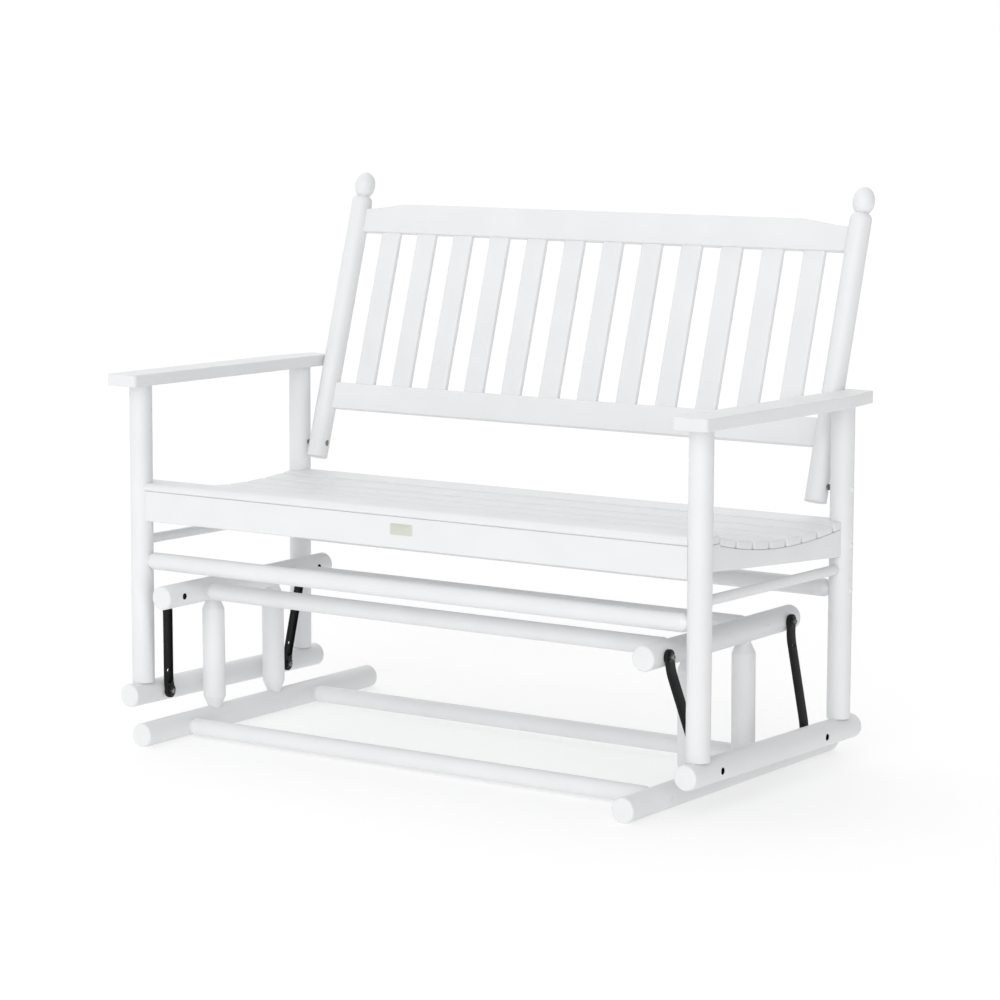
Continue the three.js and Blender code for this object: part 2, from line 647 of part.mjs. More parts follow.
// Backrest, in a leaning group: X across, Y through its thickness, Z along the posts from their lower ends
const leanRadians = THREE.MathUtils.degToRad(backLean);
const back = new THREE.Group();
const backFootY = seatPostSpacing - backBoltInset * Math.sin(leanRadians);
back.position.set(0, backFootY, backBoltHeight - backBoltInset * Math.cos(leanRadians));
back.rotation.x = -leanRadians;
seatFrame.add(back);
const lowerRailTop = lowerRailBottom + lowerRailHeight;
const crestBottom = lowerRailTop + backSlatShowing;
const crestTop = crestBottom + crestHeight;
const backPostShoulder = crestTop + crestToShoulder;

// Turned post: straight shaft, rounded shoulder, neck and a finial a little taller than it is wide
function backPostProfile() {
  const neckStart = backPostShoulder + shoulderHeight;
  const ballStart = neckStart + neckHeight;
  const profile = [[0, 0], [backPostRadius - backPostEdge, 0], [backPostRadius, backPostEdge]];
  const shoulderSteps = 3;
  for (let i = 0; i <= shoulderSteps; i += 1) {
    const angle = (i / shoulderSteps) * Math.PI / 2;
    const shrink = (backPostRadius - neckRadius) * (1 - Math.cos(angle));
    profile.push([backPostRadius - shrink, backPostShoulder + shoulderHeight * Math.sin(angle)]);
  }
  const ballSteps = 7;
  const startAngle = Math.asin(neckRadius / backPostRadius);
  const ballScale = finialHeight / (1 + Math.cos(startAngle));
  for (let i = 0; i <= ballSteps; i += 1) {
    const angle = startAngle + (Math.PI - startAngle) * (i / ballSteps);
    const radius = i === ballSteps ? 0 : backPostRadius * Math.sin(angle);
    profile.push([radius, ballStart + ballScale * (Math.cos(startAngle) - Math.cos(angle))]);
  }
  return profile;
}

for (const [side, hand] of handNames) {
  const bore = alongX(roundCut(backBoltRadius, fit, (backPostRadius + overrun) * 2, pinSides));
  bore.translate(hand * backPostX - backPostRadius - overrun, 0, backBoltInset);
  const recessDepth = backBoltNutRecess + backBoltNutLength + fit;
  const recess = alongX(roundCut(backBoltNutRadius, fit, overrun + recessDepth, pinSides));
  recess.translate(-overrun, 0, 0);
  if (hand < 0) recess.rotateZ(Math.PI);
  recess.translate(hand * (backPostX - backPostRadius), 0, backBoltInset);
  const shaft = solid(turned(backPostProfile()).translate(hand * backPostX, 0, 0));
  const post = shaft.subtract(solid(bore)).subtract(solid(recess));
  addPiece(back, `back_post_${side}`, post, whitePaint);
}

// Slats stand in shallow mortises of the lower rail and the crest rail, with equal gaps between the posts
const backOpening = (backPostX - backPostRadius) * 2;
const backSlatGap = (backOpening - backSlatCount * backSlatWidth) / (backSlatCount + 1);
const backSlatXs = Array.from({ length: backSlatCount },
  (_, i) => -backOpening / 2 + backSlatGap + backSlatWidth / 2 + i * (backSlatWidth + backSlatGap));
const backSlatLow = lowerRailTop - backSlatTenon + fit;
const backSlatHigh = crestBottom + backSlatTenon - fit;

function backRail(outline, mortiseLow, mortiseHigh) {
  const shape = boardShape(outline, backRailThickness).rotateX(Math.PI / 2);
  let rail = solid(shape.translate(0, backRailSetback + backRailThickness / 2, 0));
  for (const x of backSlatXs) {
    const [width, thickness] = [backSlatWidth + fit * 2, backSlatThickness + fit * 2];
    const mortise = new THREE.BoxGeometry(width, thickness, mortiseHigh - mortiseLow);
    rail = rail.subtract(solid(mortise.translate(x, backRailSetback, (mortiseLow + mortiseHigh) / 2)));
  }
  for (const hand of [-1, 1]) {
    const post = roundCut(backPostRadius, fit, backPostShoulder).translate(hand * backPostX, 0, 0);
    rail = rail.subtract(solid(post));
  }
  return largestPiece(rail);
}

const lowerOutline = [[-backPostX, lowerRailBottom], [backPostX, lowerRailBottom],
  [backPostX, lowerRailTop], [-backPostX, lowerRailTop]];
const lowerRail = backRail(lowerOutline, lowerRailTop - backSlatTenon, lowerRailTop + overrun);
addPiece(back, 'back_lower_rail', lowerRail, whitePaint);

// The crest rail's top falls to its ends in a smooth curve
const crestCurve = [];
for (let i = 0; i <= crestDropSteps; i += 1) {
  const part = i / crestDropSteps;
  const fall = crestDrop * (1 - Math.cos(part * Math.PI)) / 2;
  crestCurve.push([backOpening / 2 - crestDropLength * (1 - part), crestTop - fall]);
}
const crestEnd = crestTop - crestDrop;
const crestOutline = [[-backPostX, crestBottom], [backPostX, crestBottom], [backPostX, crestEnd],
  ...crestCurve.slice().reverse(), ...crestCurve.map(([x, z]) => [-x, z]), [-backPostX, crestEnd]];
const crestRail = backRail(crestOutline, crestBottom - overrun, crestBottom + backSlatTenon);
addPiece(back, 'back_crest_rail', crestRail, whitePaint);

backSlatXs.forEach((x, index) => {
  const length = backSlatHigh - backSlatLow;
  const slat = slatShape(length, backSlatThickness, backSlatWidth, backSlatEdge, backSlatEdge);
  const mesh = addPiece(back, `back_slat_${index + 1}`, solid(slat.rotateY(Math.PI / 2)), whitePaint);
  mesh.position.set(x, backRailSetback, (backSlatLow + backSlatHigh) / 2);
});

// Bolts that carry the back posts: head outside the seat post, nut sunk into the back post's inner side
for (const [side, hand] of handNames) {
  const nutEnd = backPostX - backPostRadius + backBoltNutRecess;
  const nutFace = nutEnd + backBoltNutLength;
  const headFace = seatPostX + postRadius + fit;
  const headEnd = headFace + backBoltHeadLength;
  const profile = [[0, nutEnd], [backBoltNutRadius, nutEnd], [backBoltNutRadius, nutFace],
    [backBoltRadius, nutFace], [backBoltRadius, headFace], [backBoltHeadRadius, headFace],
    [backBoltHeadRadius, headEnd], [0, headEnd]];
  const bolt = alongX(turned(profile, pinSides));
  if (hand < 0) bolt.rotateZ(Math.PI);
  bolt.translate(0, seatPostSpacing, backBoltHeight);
  addPiece(seatFrame, `back_bolt_${side}`, solid(bolt), zincPlate);
}

// The origin goes to the middle of the underside of the whole bench
bench.updateMatrixWorld(true);
const bounds = new THREE.Box3().setFromObject(bench, true);
const middle = bounds.getCenter(new THREE.Vector3());
bench.position.set(-middle.x, -middle.y, -bounds.min.z);
bench.updateMatrixWorld(true);

export default bench;
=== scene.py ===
import math
import bpy
import numpy as np
from mathutils import Matrix, Vector


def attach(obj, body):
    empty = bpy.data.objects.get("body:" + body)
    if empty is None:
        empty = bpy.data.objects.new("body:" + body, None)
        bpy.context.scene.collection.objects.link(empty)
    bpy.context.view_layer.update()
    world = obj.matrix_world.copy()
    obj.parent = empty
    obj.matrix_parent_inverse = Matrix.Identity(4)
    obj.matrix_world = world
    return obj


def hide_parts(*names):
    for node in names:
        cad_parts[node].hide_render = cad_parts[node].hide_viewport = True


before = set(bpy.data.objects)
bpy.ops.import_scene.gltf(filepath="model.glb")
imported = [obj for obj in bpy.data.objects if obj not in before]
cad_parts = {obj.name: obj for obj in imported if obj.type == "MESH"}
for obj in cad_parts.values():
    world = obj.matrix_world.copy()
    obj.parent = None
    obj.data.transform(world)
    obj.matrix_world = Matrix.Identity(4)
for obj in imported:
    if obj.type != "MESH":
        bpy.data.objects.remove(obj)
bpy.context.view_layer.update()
print("frame loaded,", len(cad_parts), "nodes")

# Frames of the bench, sizes in millimetres: tilt about X in degrees, then the origin's Y and Z in the world.
# The base stands level, with its origin under the middle of the hanger rails. The seat frame hangs with a small
# pitch, from its front posts' axes, and the backrest leans back on it, from the lower ends of the back posts.
places = {
    "base": (0.0, -73.2931, 0.0),
    "seat": (0.81829, -274.8050, 0.6502),
    "back": (17.31829, 193.7325, 471.6264),
}
columns = {"x": (1, 2, 0), "y": (0, 2, 1), "z": (0, 1, 2)}  # where a section's two sides and the length go
barFaces = 96         # round a thick rail or back post, or a cutter as wide
pinFaces = 48         # round a pin, a bore or a thin rod
capFaces = 32         # round a cap or a small hole
sliver = 0.02         # mm, radius of a dome's last ring and the first step of a round end
leastRadius = 0.4     # mm, of a bar's long edges at its ends
creaseAngle = 38      # degrees between faces, above which an edge stays sharp
grainStep = 1.37      # metres along the grain from one piece to the next, so that no two share a stretch of it
cutterReach = 30      # mm, half the length of a cutter that goes right through a rail


# A point of a frame in world metres: turned about X by the frame's tilt, then moved to its origin
def placed(points, place):
    tilt, originY, originZ = places[place]
    c, s = math.cos(math.radians(tilt)), math.sin(math.radians(tilt))
    x, y, z = points[..., 0], points[..., 1], points[..., 2]
    return np.stack([x, originY + y * c + z * s, originZ - y * s + z * c], -1) / 1000


# The way back, from world metres to a frame's own millimetres
def unplaced(points, place):
    tilt, originY, originZ = places[place]
    c, s = math.cos(math.radians(tilt)), math.sin(math.radians(tilt))
    x, y, z = points[..., 0] * 1000, points[..., 1] * 1000 - originY, points[..., 2] * 1000 - originZ
    return np.stack([x, y * c - z * s, y * s + z * c], -1)


# Section sides a and b and the length put into X, Y and Z of a frame, moved by at
def laid(a, b, length, axis, at=(0, 0, 0)):
    a, b, length = np.broadcast_arrays(a, b, length)
    points = np.zeros(a.shape + (3,))
    for column, values in zip(columns[axis], (a, b, length)):
        points[..., column] = values
    return points + np.array(at, float)


# Rings of equal count joined by four-sided faces; each end is a fan round its middle point.
# The signed volume, a sum of corner triple products, tells whether the faces look outwards.
def closedMesh(name, rings, ends=None):
    count, around = rings.shape[:2]
    if ends is None:
        ends = (rings[0].mean(0), rings[-1].mean(0))
    points = np.concatenate([ends[0][None], rings.reshape(-1, 3), ends[1][None]])
    here = np.arange(around)
    after = (here + 1) % around
    row = (1 + np.arange(count - 1) * around)[:, None]
    quads = np.stack([row + here, row + after, row + around + after, row + around + here], -1).reshape(-1, 4)
    last = 1 + (count - 1) * around
    startFan = np.stack([np.zeros(around, int), 1 + after, 1 + here], -1)
    endFan = np.stack([np.full(around, len(points) - 1), last + here, last + after], -1)
    fans = np.concatenate([startFan, endFan])
    halves = np.concatenate([quads[:, :3], quads[:, [0, 2, 3]], fans])
    corner = points[halves]
    if np.einsum("ij,ij->i", corner[:, 0], np.cross(corner[:, 1], corner[:, 2])).sum() < 0:
        quads, fans = quads[:, ::-1], fans[:, ::-1]
    mesh = bpy.data.meshes.new(name)
    mesh.from_pydata(points.tolist(), [], quads.tolist() + fans.tolist())
    return mesh


def addObject(name, mesh):
    piece = bpy.data.objects.new(name, mesh)
    bpy.context.scene.collection.objects.link(piece)
    return piece


# Arc of a profile: middle plus radius times cosine and sine, from one angle to another in degrees
def arc(middle, radius, start, end, steps=6):
    angle = np.radians(np.linspace(start, end, steps + 1))
    return np.stack([middle[0] + radius * np.cos(angle), middle[1] + radius * np.sin(angle)], -1)


# A profile of radius and height carried round an axis: (r cos a, r sin a, h) for a over a full turn
def turnedRings(profile, around):
    profile = np.asarray(profile, float)
    angle = np.linspace(0, 2 * np.pi, around, endpoint=False)
    r, h = profile[:, :1], profile[:, 1:]
    return r * np.cos(angle), r * np.sin(angle), h + 0 * angle


def turnedMesh(name, profile, axis, at, place, around=72, floorCut=None):
    a, b, h = turnedRings(profile, around)
    if floorCut is not None:
        b = np.maximum(b, -floorCut)
    rings = placed(laid(a, b, h, axis, at), place)
    zero = np.zeros(1)
    tips = [placed(laid(zero, zero, zero + profile[i][1], axis, at), place)[0] for i in (0, -1)]
    return closedMesh(name, rings, tips)


# Outline of a rectangle about its middle: four arcs, each with its own radius, counterclockwise from low right
def roundedSection(width, height, radii, steps=5):
    radii = np.array(radii, float)[:, None]
    angle = np.radians(np.array([-90, 0, 90, 180])[:, None] + np.linspace(0, 90, steps + 1))
    signA, signB = np.array([1, 1, -1, -1])[:, None], np.array([-1, 1, 1, -1])[:, None]
    a = signA * (width / 2 - radii) + radii * np.cos(angle)
    b = signB * (height / 2 - radii) + radii * np.sin(angle)
    return a.ravel(), b.ravel()


# Insets and steps of an eased end: a quarter circle from the end face, where the section is smallest
def easedEnd(radius, steps=4):
    angle = np.radians(np.linspace(0, 90, steps + 1))
    return radius * (1 - np.sin(angle)), radius * (1 - np.cos(angle))


# A straight bar with rounded long edges and eased ends; each ring is the section drawn in by the end's inset
def barRings(low, high, width, height, radii, ease):
    inset, step = easedEnd(ease)
    insets = np.concatenate([inset, inset[::-1]])
    lengths = np.concatenate([low + step, high - step[::-1]])
    rings = [roundedSection(width - 2 * d, height - 2 * d, np.maximum(np.array(radii) - d, leastRadius))
             for d in insets]
    a = np.stack([ring[0] for ring in rings])
    b = np.stack([ring[1] for ring in rings])
    return a, b, lengths[:, None] + 0 * a


# Where a line along a board meets a post beside it: the post's axis less the root of r squared minus d squared
def cope(axis, radius, offset):
    return axis - np.sqrt(np.maximum(radius ** 2 - offset ** 2, 0))


# Boolean cut, applied at once, so that only the finished mesh is kept
def cutAway(piece, meshes):
    for mesh in meshes:
        tool = addObject("cutter", mesh)
        cut = piece.modifiers.new("cut", "BOOLEAN")
        cut.operation, cut.solver, cut.object = "DIFFERENCE", "EXACT", tool
        graph = bpy.context.evaluated_depsgraph_get()
        done = bpy.data.meshes.new_from_object(piece.evaluated_get(graph))
        piece.modifiers.clear()
        old, piece.data = piece.data, done
        bpy.data.meshes.remove(old)
        bpy.data.objects.remove(tool)
        bpy.data.meshes.remove(mesh)


# Colours as sRGB hex, turned to linear light
def hexColour(code):
    parts = np.array([int(code[i:i + 2], 16) for i in (1, 3, 5)]) / 255
    linear = np.where(parts <= 0.04045, parts / 12.92, ((parts + 0.055) / 1.055) ** 2.4)
    return (*linear.tolist(), 1.0)


# One node with its settings and its links, each link as input name and the socket that feeds it
def addNode(tree, kind, values=None, links=None, **settings):
    node = tree.nodes.new(kind)
    for key, value in settings.items():
        setattr(node, key, value)
    for key, value in (values or {}).items():
        node.inputs[key].default_value = value
    for key, source in (links or {}).items():
        tree.links.new(source, node.inputs[key])
    return node


def newMaterial(name):
    material = bpy.data.materials.new(name)
    material.use_nodes = True
    tree = material.node_tree
    tree.nodes.clear()
    return material, tree


# Noise over a surface, as a value from 0 to 1. One size in millimetres gives round patches, and three sizes,
# one for each axis of the place, give streaks.
def noiseOver(tree, place, size, detail):
    if isinstance(size, tuple):
        scale = tuple(1000 / one for one in size)
        place = addNode(tree, "ShaderNodeMapping", {"Scale": scale}, {"Vector": place}).outputs["Vector"]
        size = 1000
    noise = addNode(tree, "ShaderNodeTexNoise", {"Scale": 1000 / size, "Detail": detail}, {"Vector": place})
    return noise.outputs["Fac"]


def toneBetween(tree, first, second, pattern):
    tone = addNode(tree, "ShaderNodeMix", {"A": hexColour(first), "B": hexColour(second)}, {"Factor": pattern},
                   data_type="RGBA")
    return tone.outputs["Result"]


def roughnessBetween(tree, limits, pattern):
    sheen = addNode(tree, "ShaderNodeMapRange", {"To Min": limits[0], "To Max": limits[1]}, {"Value": pattern})
    return sheen.outputs["Result"]


# A bump, its strength a share and its depth in metres, on top of another one if there is one below it
def bumpFrom(tree, strength, depth, pattern, below=None):
    links = {"Height": pattern}
    if below is not None:
        links["Normal"] = below
    return addNode(tree, "ShaderNodeBump", {"Strength": strength, "Distance": depth}, links).outputs["Normal"]


# The finish itself: what is the same all over as values, what has a pattern as links
def finishFrom(tree, values, links):
    shader = addNode(tree, "ShaderNodeBsdfPrincipled", values, links)
    addNode(tree, "ShaderNodeOutputMaterial", links={"Surface": shader.outputs["BSDF"]})


# Satin exterior paint brushed on turned and planed hardwood: a soft white with faint brush lines along the
# grain and a slightly uneven tone and sheen, so that broad faces don't look like plastic
paintLook = {
    "white": "#e5e6e7", "shade": "#dedfe0", "roughness": (0.38, 0.52), "gloss": 1.48,
    "brush": (1.3, 1.3, 60), "brushBump": 0.10, "brushDepth": 0.0003,   # sizes in mm, depths in metres
    "grain": (5, 5, 220), "grainBump": 0.16, "grainDepth": 0.0006, "patch": 90,
}


def satinPaint():
    look = paintLook
    material, tree = newMaterial("satinPaintOnWood")
    place = addNode(tree, "ShaderNodeAttribute", attribute_name="alongGrain").outputs["Vector"]
    brush = noiseOver(tree, place, look["brush"], detail=2.0)
    grain = noiseOver(tree, place, look["grain"], detail=3.0)
    patch = noiseOver(tree, place, look["patch"], detail=1.0)
    coarse = bumpFrom(tree, look["grainBump"], look["grainDepth"], grain)
    finishFrom(tree, {"IOR": look["gloss"]}, {
        "Base Color": toneBetween(tree, look["shade"], look["white"], patch),
        "Roughness": roughnessBetween(tree, look["roughness"], grain),
        "Normal": bumpFrom(tree, look["brushBump"], look["brushDepth"], brush, coarse)})
    return material


# Black polyester powder coat on pressed steel: a semi-gloss black with the shallow orange peel of baked powder
coatLook = {
    "black": "#050506", "rub": "#0c0c0d", "roughness": (0.42, 0.56), "gloss": 1.45, "specular": 0.3,
    "peel": 1.1, "peelBump": 0.22, "peelDepth": 0.0002, "patch": 14,
}


def powderCoat():
    look = coatLook
    material, tree = newMaterial("blackPowderCoat")
    place = addNode(tree, "ShaderNodeTexCoord").outputs["Object"]
    peel = noiseOver(tree, place, look["peel"], detail=1.0)
    patch = noiseOver(tree, place, look["patch"], detail=3.0)
    finishFrom(tree, {"IOR": look["gloss"], "Specular IOR Level": look["specular"]}, {
        "Base Color": toneBetween(tree, look["black"], look["rub"], patch),
        "Roughness": roughnessBetween(tree, look["roughness"], patch),
        "Normal": bumpFrom(tree, look["peelBump"], look["peelDepth"], peel)})
    return material


# A bare or plated metal whose tone and sheen follow one pattern
def plainMetal(name, look, first, second, pattern, detail):
    material, tree = newMaterial(name)
    place = addNode(tree, "ShaderNodeTexCoord").outputs["Object"]
    cloud = noiseOver(tree, place, look[pattern], detail)
    finishFrom(tree, {"Metallic": look["metal"]}, {
        "Base Color": toneBetween(tree, look[first], look[second], cloud),
        "Roughness": roughnessBetween(tree, look["roughness"], cloud)})
    return material


# Zinc-plated steel of bolts: a pale grey metal, dulled unevenly in small clouds by weather and handling
zincLook = {"bright": "#a3a49f", "dull": "#5f605b", "roughness": (0.28, 0.52), "metal": 1.0, "cloud": 3.5}


def zincSteel():
    return plainMetal("zincPlatedSteel", zincLook, "bright", "dull", "cloud", detail=4.0)


# Black oxide steel of the pivot pins and sleeves: near black and smooth, so that an edge catches the light. On
# the sleeves this near-black also paints the shade deep inside the pivot bores.
oxideLook = {"black": "#121213", "worn": "#2a2a2b", "roughness": (0.16, 0.30), "metal": 0.6, "cloud": 4}


def blackOxide():
    return plainMetal("blackOxideSteel", oxideLook, "black", "worn", "cloud", detail=3.0)


# Brushed aluminium of the small bare plate: a pale, slightly warm grey with fine lines along its length
plateLook = {
    "pale": "#dedfd4", "line": "#cbccc1", "roughness": (0.34, 0.5), "metal": 0.6, "brush": (30, 0.5, 0.5),
}


def brushedPlate():
    return plainMetal("brushedAluminium", plateLook, "pale", "line", "brush", detail=2.0)


paint, coat, zinc, oxide, plateMetal = satinPaint(), powderCoat(), zincSteel(), blackOxide(), brushedPlate()
print("materials made")

pieceCount = 0


# Gives a mesh its grain directions, shading and finish, ties it to its body, and hides the node it stands for
def finishPiece(name, mesh, body, material, node=None, place="base", axis="z", cutters=()):
    global pieceCount
    pieceCount += 1
    piece = addObject(name, mesh)
    cutAway(piece, cutters)
    mesh = piece.data
    mesh.name = name
    flat = np.zeros(len(mesh.vertices) * 3)
    mesh.vertices.foreach_get("co", flat)
    local = unplaced(flat.reshape(-1, 3), place)[:, list(columns[axis])] / 1000
    local = local + np.array([0.0, 0.0, grainStep * pieceCount])
    grain = mesh.attributes.new("alongGrain", "FLOAT_VECTOR", "POINT")
    grain.data.foreach_set("vector", local.ravel())
    mesh.polygons.foreach_set("use_smooth", np.ones(len(mesh.polygons), bool))
    mesh.set_sharp_from_angle(angle=math.radians(creaseAngle))
    mesh.materials.clear()
    mesh.materials.append(material)
    mesh.update()
    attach(piece, body)
    if node:
        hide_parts(node)


hands = (("left", -1), ("right", 1))


# Profile of a round rail or post: a straight side with a quarter-round at either end
def roundedRod(low, high, radius, edge, steps=6):
    start = arc((radius - edge, low + edge), edge, -90, 0, steps)
    end = arc((radius - edge, high - edge), edge, 0, 90, steps)
    return np.concatenate([start, end])


# A plain round cutter or pin, as a profile
def plainRod(low, high, radius):
    return np.array([[radius, low], [radius, high]])


# A cap over a screw: a short stem in the wood, then a dome, radius times cos t and rise times sin t
def capProfile(radius, rise, buried=2.0):
    t = np.linspace(0, np.pi / 2, 8)
    dome = np.stack([np.maximum(radius * np.cos(t), sliver), rise * np.sin(t)], -1)
    return np.concatenate([[[radius, -buried]], dome])


# Near-black sleeve in the mouth of a pivot's bore, as a cup: outside to the rim, then down the inside to its
# floor. It is partly a dark bushing and partly painted shade, standing in for the shade deep inside the bore.
def makeShadeSleeve(name, hand, mouth, body, y, z):
    start = mouth["from"] + math.copysign(mouth["gap"], mouth["rim"] - mouth["from"])
    outer, inner, rim, lip = mouth["cup"], mouth["inner"], mouth["rim"], mouth["lip"]
    profile = np.array([[outer, start], [outer, rim - lip], [outer - lip, rim], [inner, rim],
                        [inner, mouth["floor"]]])
    mesh = turnedMesh("sleeve", profile * [1, hand], "x", (0, y, z), body, pinFaces)
    finishPiece(name, mesh, body, oxide, None, body, "x")


# The wider mouth of a pivot's bore, as a cutter from outside the rail to the mouth's inner end
def mouthCutter(hand, mouth, body, y, z):
    profile = plainRod(mouth["open"], mouth["from"], mouth["radius"])
    return turnedMesh("mouth", profile * [1, hand], "x", (0, y, z), body, pinFaces)


# A painted cap on the outer face of a rail or post
def makeCap(name, hand, body, face, y, z, radius, rise, sunk=0.0):
    profile = (capProfile(radius, rise) - [0, sunk]) * [1, hand]
    mesh = turnedMesh("cap", profile, "x", (hand * face, y, z), body, capFaces)
    finishPiece(name, mesh, body, paint, None, body, "x")


# Pivots in the base's Y and Z, and the links' turn from upright
pivots = {
    "front": {"top": (-200, 266.9253), "low": (-155.4597, 74.0), "lean": 13.0},
    "rear": {"top": (200, 266.9253), "low": (194.5046, 69.0015), "lean": -1.5904},
}

# Fixed base: round floor rails, tapered uprights, hanger rails and four stretchers
baseRails = {
    "x": 527, "radius": 22, "edge": 4,
    "floor": {"y": (-304, 382), "z": 21.0, "flat": 21.0},
    "hanger": {"y": (-242, 242), "z": 266.9253, "bore": 4.6},
    # the mouth holds a near-black cup: a bushing whose dark also paints the shade deep in the bore
    "mouth": {"radius": 6.0, "open": 490, "from": 513.6,
              "cup": 5.95, "inner": 4.9, "floor": 508.2, "rim": 506.0, "gap": 0.2, "lip": 0.3},
    "plug": {"y": (-185, 185), "recess": 3.7, "depth": 1.6, "overrun": 9,
             "radius": 3.1, "rise": 0.5, "sunk": 0.6},
    "cap": {"y": (-127, 127), "radius": 5.2, "rise": 2.6},
}


def makeFloorRail(side, hand):
    s, floor, plug = baseRails, baseRails["floor"], baseRails["plug"]
    face = s["x"] + s["radius"]
    profile = roundedRod(*floor["y"], s["radius"], s["edge"])
    mesh = turnedMesh("rail", profile, "y", (hand * s["x"], 0, floor["z"]), "base", barFaces, floor["flat"])
    recess = plainRod(-plug["depth"], plug["overrun"], plug["recess"]) * [1, hand]
    cutters = [turnedMesh("recess", recess, "x", (hand * face, y, floor["z"]), "base", capFaces)
               for y in plug["y"]]
    finishPiece(f"floorRail_{side}", mesh, "base", paint, f"floor_rail_{side}", "base", "y", cutters)
    for end, y in zip(pivots, plug["y"]):
        makeCap(f"floorPlug_{end}_{side}", hand, "base", face, y, floor["z"], plug["radius"], plug["rise"],
                plug["sunk"])


def makeHangerRail(side, hand):
    s, hanger, cap = baseRails, baseRails["hanger"], baseRails["cap"]
    profile = roundedRod(*hanger["y"], s["radius"], s["edge"])
    mesh = turnedMesh("rail", profile, "y", (hand * s["x"], 0, hanger["z"]), "base", barFaces)
    bore = plainRod(-cutterReach, cutterReach, hanger["bore"])
    cutters = [turnedMesh("bore", bore, "x", (hand * s["x"], *pivots[end]["top"]), "base", pinFaces)
               for end in pivots]
    cutters += [mouthCutter(hand, s["mouth"], "base", *pivots[end]["top"]) for end in pivots]
    finishPiece(f"hangerRail_{side}", mesh, "base", paint, f"hanger_rail_{side}", "base", "y", cutters)
    for end, y in zip(pivots, cap["y"]):
        makeShadeSleeve(f"topShadeSleeve_{end}_{side}", hand, s["mouth"], "base", *pivots[end]["top"])
        makeCap(f"hangerCap_{end}_{side}", hand, "base", s["x"] + s["radius"], y, hanger["z"], cap["radius"],
                cap["rise"])


def makeBaseRails():
    for side, hand in hands:
        makeFloorRail(side, hand)
        makeHangerRail(side, hand)


# An open profile whose inner corners are softened: each becomes the curve (1-t)^2 a + 2t(1-t) corner + t^2 b,
# which starts at a and ends at b, both at the given reach from the corner
def softened(points, reach, steps=4):
    points = np.asarray(points, float)
    corner = points[1:-1, None]
    sides = [points[:-2] - points[1:-1], points[2:] - points[1:-1]]
    a, b = (corner + (side / np.linalg.norm(side, axis=1)[:, None])[:, None] * reach for side in sides)
    t = np.linspace(0, 1, steps + 1)[None, :, None]
    curves = (1 - t) ** 2 * a + 2 * t * (1 - t) * corner + t ** 2 * b
    return np.concatenate([points[:1], curves.reshape(-1, 2), points[-1:]])


uprights = {
    "y": {"front": -94, "rear": 82}, "z": (35.0, 252.9253), "radius": 21, "tip": 13, "tenon": 8, "taper": 18,
    "soften": 2.2,
}


# Upright: a straight shaft with a cone at either end, down to the thin tip that goes into the rail
def uprightProfile():
    s = uprights
    low, high = s["z"]
    rise = s["tenon"] + s["taper"]
    return softened([[s["tip"], low], [s["tip"], low + s["tenon"]], [s["radius"], low + rise],
                     [s["radius"], high - rise], [s["tip"], high - s["tenon"]], [s["tip"], high]], s["soften"])


def makeUprights():
    for side, hand in hands:
        for end, y in uprights["y"].items():
            mesh = turnedMesh("upright", uprightProfile(), "z", (hand * baseRails["x"], y, 0), "base")
            finishPiece(f"upright_{end}_{side}_turned", mesh, "base", paint, f"upright_{end}_{side}")


stretchers = {
    "radius": 16, "tenon": 11, "tenonLength": 13, "chamfer": 9, "soften": 2.5,
    "floor": {"reach": 518, "z": 21.0, "y": (-185, 185), "body": "base"},
    "upper": {"reach": 518, "z": 266.9253, "y": (-127, 127), "body": "base"},
    "seat": {"reach": 602, "z": 325.9253, "y": (0, 470), "body": "seat"},
}


# Stretcher: a straight round bar with a chamfer, softened at its corners, down to the tenon at either end
def stretcherProfile(reach):
    s = stretchers
    shoulder = reach - s["tenonLength"]
    chamfer = shoulder - s["chamfer"]
    return softened([[s["tenon"], -reach], [s["tenon"], -shoulder], [s["radius"], -chamfer],
                     [s["radius"], chamfer], [s["tenon"], shoulder], [s["tenon"], reach]], s["soften"])


def makeStretchers():
    for kind in ("floor", "upper", "seat"):
        s = stretchers[kind]
        for end, y in zip(pivots, s["y"]):
            body = s["body"]
            mesh = turnedMesh("stretcher", stretcherProfile(s["reach"]), "x", (0, y, s["z"]), body)
            finishPiece(f"{kind}Stretcher_{end}", mesh, body, paint, f"{kind}_stretcher_{end}", body, "x")


makeBaseRails()
makeUprights()
makeStretchers()
print("base made")

# Hanging seat frame: lower rails, posts, side rods
seatRails = {
    "x": 610, "y": (-42, 518), "z": 74, "radius": 22, "edge": 4,
    "bores": {"front": (45, 5.0), "rear": (395, 6.3)},
    # the mouth holds a near-black cup: a bushing whose dark also paints the shade deep in the bore
    "mouth": {"radius": 6.3, "open": 650, "from": 622.6,
              "cup": 6.24, "inner": 5.6, "floor": 625.0, "rim": 631.0, "gap": 0.2, "lip": 0.3},
}
seatPosts = {
    "y": {"front": 0, "rear": 470}, "z": (94.5, 652.1253), "radius": 21, "edge": 1.5,
    "seat": {"gap": 0.2, "drop": 0.3, "top": 130},
    "caps": {"boltCap": (505.4253, 5.6, 3.0), "boardCap": (406, 4.8, 2.6),
             "stretcherCap": (325.9253, 4.8, 2.6)},
}
sideRods = {
    "z": 362.9253, "y": (8, 462), "radius": 9, "tenon": 7, "tenonLength": 13, "chamfer": 2, "soften": 0.9,
}


